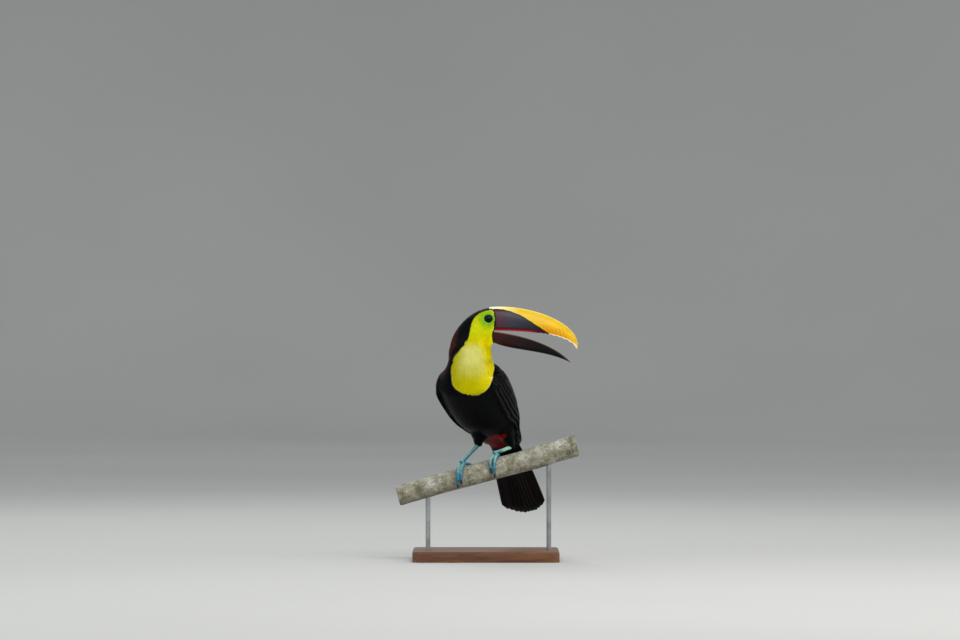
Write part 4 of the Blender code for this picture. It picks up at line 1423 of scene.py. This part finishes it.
def leg_finish():
    """Turquoise scaly skin, with paler blue-green painted on where light falls."""
    made = Finish("leg_skin", Roughness=0.42, Specular_IOR_Level=0.45, Subsurface_Weight=0.05)
    deep = made.patches(260.0, 3.0, "0b4860", "267a92")
    pale = made.steps(made.noise(300.0, 3.0), (0.35, "74b8a2"), (0.7, "bce8c6"))
    # painted light: the pale blue-green is laid over the deep turquoise where light falls
    shade = made.mix(made.field("painted_light"), deep, pale)
    shade = made.over(shade, "123f5a", made.field("scute"), 0.2, 0.0, 0.7)
    made.bump(made.cells(1100.0), 0.45, 0.0003)
    made.bump(made.noise(700.0, 3.0), 0.3, 0.0003)
    return made.finish(Base_Color=shade)


def scale_place(points, owners, side):
    """How far along its shank or toe each point is, in scutes."""
    heel = np.array(THIGHS[side][1])
    down = unit(centre(f"tarsus_{side}") - ORIGIN - heel)
    shank = (points - heel) @ down
    turn = np.arctan2(-points[:, 1], points @ PERCH_UP)
    toe = np.abs(turn) * 22.0
    return np.where(owners == f"tarsus_{side}", shank, toe) / SCUTE


def dress_leg(side, finish, horn_finish):
    nodes = (f"tarsus_{side}", *(f"toe_{side}_{toe}" for toe in TOES))
    points, faces, normals = fuse(nodes, LEG_GRAIN, LEG_CLOSE, 14)
    scute = scale_place(points, owners_of(points, nodes), side) % 1.0
    step = ramp(scute, 0.0, 0.16) * (1.0 - 0.65 * scute)
    points = points - normals * (LEG_CLOSE - LEG_PROUD)
    points = points - normals * (SCUTE_STEP * (1 - step))[:, None]
    x, _, z = points.T
    # Painted light: paler on the upper faces, high on the right shank and at the left heel, where light
    # falls.
    up_face = ramp(normals[:, 2], 0.1, 0.8)
    if side == "right":
        painted_light = np.maximum(0.35 * up_face, 0.7 * ramp(z, 40.0, 52.0))
    else:
        painted_light = np.maximum(0.6 * up_face, 1.3 * ramp(x, 34.0, 44.0) * ramp(z, 30.0, 38.0))
    fields = {"scute": scute, "painted_light": painted_light}
    piece(f"leg_{side}", points, faces, finish, nodes, fields, flat_map(points))
    dress_claws(side, horn_finish)


def dress_claws(side, finish):
    """The claws, rounder than their solids."""
    nodes = tuple(f"claw_{side}_{toe}" for toe in TOES)
    points, faces, _ = cad_mesh(nodes)
    joined = ("WELD", {"merge_threshold": 0.05 * MM})
    rounded = ("SUBSURF", {"levels": 2, "render_levels": 2})
    points, faces, _ = evaluated(points, faces, (joined, rounded))
    piece(f"claws_{side}", points, faces, finish, nodes, None, flat_map(points))


def claw_finish():
    made = Finish("claw_horn", Roughness=0.28, Specular_IOR_Level=0.5, Coat_Weight=0.3, Coat_Roughness=0.1)
    grain = made.noise(350.0, 4.0)
    made.bump(grain, 0.3, 0.0002)
    return made.finish(Base_Color=made.steps(grain, (0.3, "0b0b0c"), (0.75, "2a2624")))


# ---------------------------------------------------------------- perch and stand

PERCH_ROWS = 340
PERCH_SIDES = 128
PERCH_CLEAR = 60.0  # from the branch's middle to where rays start, well outside it
PERCH_RADIUS = 20.0  # taken where a ray meets nothing
CRACK_DEPTH = 0.15
BARK_CORE = 30.0  # the distance from the core that stands for bark


def perch_finish():
    """Pale grey bark with beige patches, dark pores and lichen; sawn wood at the ends."""
    made = Finish("perch_bark", Roughness=0.85, Specular_IOR_Level=0.25)
    coarse, fine = made.noise(44.0, 9.0, 0.84), made.noise(260.0, 5.0, 0.75)
    shade = made.steps(coarse, (0.36, "605a48"), (0.45, "7f7b67"), (0.54, "9b998a"), (0.64, "bfc0b6"))
    ragged = made.plus(made.times(coarse, 0.5), made.times(fine, 1.1))
    specks = made.plus(made.cells(300.0, "F1"), ragged)
    lichen, white = made.noise(52.0, 5.0, 0.7), made.noise(75.0, 5.0, 0.7)
    for tint, value, low, high, most in (
        ("453f2f", fine, 0.46, 0.34, 0.75),
        ("3a3528", specks, 1.06, 0.86, 0.7),
        ("8f9460", lichen, 0.6, 0.68, 0.35),
        ("d6d7cd", white, 0.62, 0.7, 0.45),
    ):
        shade = made.over(shade, tint, value, low, high, most)
    shade = made.mix(made.times(made.field("scar"), 0.35), shade, "4a4234")
    core = made.field("core")
    wood = made.over("c9b287", "a88a5c", made.math("SINE", made.times(core, 3.6)), -0.6, 1.0)
    wood = made.over(wood, "6e5434", core, 2.6, 1.6)
    shade = made.mix(made.field("sawn"), shade, wood)
    made.bump(fine, 0.8, 0.0012)
    made.bump(made.noise(900.0, 4.0), 0.5, 0.0004)
    return made.finish(Base_Color=shade)


def perch_rings():
    """The solid branch's outline, read all round it: its surface points and the ways out from its middle."""
    tree = tree_of(("perch_branch",))
    along = cad_mesh(("perch_branch",))[0] @ PERCH_ALONG
    turns = full_turn(PERCH_SIDES)
    out = np.outer(np.cos(turns), PERCH_UP) + np.outer(np.sin(turns), (0.0, -1.0, 0.0))
    rings = []
    for place in np.linspace(along.min() + 0.2, along.max() - 0.2, PERCH_ROWS):
        middle = PERCH_ALONG * place
        hits = (tree.ray_cast(middle + way * PERCH_CLEAR, -way) for way in out)
        radius = PERCH_CLEAR - np.array([hit[3] or PERCH_CLEAR - PERCH_RADIUS for hit in hits])
        rings.append(middle + out * np.maximum(radius, np.median(radius) - 1.5)[:, None])
    return np.vstack(rings), np.tile(out, (PERCH_ROWS, 1))


def dress_perch():
    """The branch with ring scars, low lumps and cracked sawn ends, inside its solid's outline."""
    flat, out = perch_rings()
    where = flat @ PERCH_ALONG
    scars = where.min() + np.cumsum(RANDOM.uniform(24.0, 70.0, 8))
    lumps = fractal(flat, 26.0, 3)
    ridges = fractal(flat * (0.35, 1.0, 1.0) + 40.0, 5.0, 3)
    wander = 1.6 * fractal(flat + 90.0, 30.0, 2)
    groove = np.zeros(len(flat))
    for scar in scars:
        for step, wide, deep in ((0.0, 0.8, 1.0), (2.4, 0.7, 0.5)):
            groove = np.maximum(groove, deep * np.exp(-(((where + wander - scar - step) / wide) ** 2)))
    sink = 0.35 + 0.35 * np.abs(lumps) + 0.25 * (ridges * 0.5 + 0.5) + 0.4 * groove
    close_perch(flat - out * np.clip(sink, 0.0, 1.3)[:, None], groove)


def close_perch(flat, groove):
    """Closes the branch with sawn faces of rings."""
    rows, sides = PERCH_ROWS, PERCH_SIDES
    faces = [tube_faces(rows, sides)]
    points = [flat]
    count = len(flat)
    marks = [np.column_stack((groove, np.full(count, BARK_CORE), np.zeros(count)))]
    for first, way in ((0, -1), ((rows - 1) * sides, 1)):
        rim = flat[first : first + sides]
        middle = rim.mean(axis=0)
        before = np.arange(first, first + sides)
        for share in (0.985, 0.85, 0.6, 0.35, 0.1):
            ring = middle + (rim - middle) * share
            cracks = CRACK_DEPTH * np.abs(np.sin(np.arange(sides) * 0.8 + share * 9))
            ring = ring - way * PERCH_ALONG * cracks[:, None]
            now = np.arange(count, count + sides)
            quads = np.stack((before, np.roll(before, -1), np.roll(now, -1), now), axis=-1)
            faces.append(quads if way > 0 else quads[:, ::-1])
            points.append(ring)
            core = np.linalg.norm(ring - middle, axis=1)
            marks.append(np.column_stack((np.zeros(sides), core, np.ones(sides))))
            before = now
            count += sides
        points.append(middle[None])
        marks.append(((0.0, 0.0, 1.0),))
        hub = np.full(sides, count)
        cap = np.stack((before, np.roll(before, -1), hub, hub), axis=-1)
        faces.append(cap if way > 0 else cap[:, ::-1])
        count += 1
    points = np.vstack(points)
    faces = [list(dict.fromkeys(f)) for f in np.vstack(faces).tolist()]
    where = points @ PERCH_ALONG
    turn = np.arctan2(-points[:, 1], points @ PERCH_UP) / (2 * math.pi) + 0.5
    uv = np.column_stack((turn, 0.05 + 0.9 * (where - where.min()) / np.ptp(where)))
    fields = dict(zip(("scar", "core", "sawn"), np.vstack(marks).T))
    piece("perch", points, faces, perch_finish(), ("perch_branch",), fields, uv)


def repaint(node, finish):
    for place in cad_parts[node].material_slots:
        place.material = finish


def stained_wood():
    """Dark walnut with long grain, open pores and a satin oil finish."""
    oil = {"Coat_Weight": 0.15, "Coat_Roughness": 0.3}
    made = Finish("stand_walnut", Roughness=0.42, Specular_IOR_Level=0.4, **oil)
    bent = made.noise(5.0, 2.0)
    grain = made.noise(60.0, 6.0, 0.65, made.place((0.09, 1.0, 1.0)))
    rings = made.math("SINE", made.plus(made.times(grain, 34.0), made.times(bent, 30.0)))
    shade = made.steps(grain, (0.32, "4a2c1a"), (0.55, "6f4529"), (0.72, "875a37"))
    shade = made.over(shade, "3a2013", rings, 0.2, 1.0, 0.35)
    pores = made.noise(700.0, 2.0, 0.5, made.place((0.06, 1.0, 1.0)))
    shade = made.over(shade, "24130b", pores, 0.36, 0.28, 0.7)
    made.bump(pores, 0.25, 0.0003)
    return made.finish(Base_Color=shade)


def brushed_steel():
    """Turned steel rod: fine rings of brushing round it and a few darker smears."""
    made = Finish("stand_steel", Metallic=1.0)
    rings = made.noise(900.0, 2.0, 0.6, made.place((0.05, 0.05, 1.0)))
    smears = made.noise(45.0, 4.0, 0.6)
    shade = made.steps(smears, (0.3, "8f9296"), (0.7, "b4b6b8"))
    shade = made.over(shade, "6f7276", rings, 0.45, 0.7, 0.25)
    made.bump(rings, 0.3, 0.0002)
    return made.finish(Base_Color=shade, Roughness=made.range(smears, 0.3, 0.7, 0.28, 0.42))


def dress_stand():
    repaint("stand_base", stained_wood())
    steel = brushed_steel()
    for rod in ("stand_rod_1", "stand_rod_2"):
        repaint(rod, steel)


def main():
    make_camera()
    make_stage()
    make_lights()
    skin = Skin()
    dress_skin(skin)
    dress_plumage(skin)
    for side in SIDES:
        dress_wing(side)
    dress_tail()
    dress_bill(skin)
    dress_eyes(skin)
    leg, claw = leg_finish(), claw_finish()
    for side in SIDES:
        dress_leg(side, leg, claw)
    dress_perch()
    dress_stand()


main()
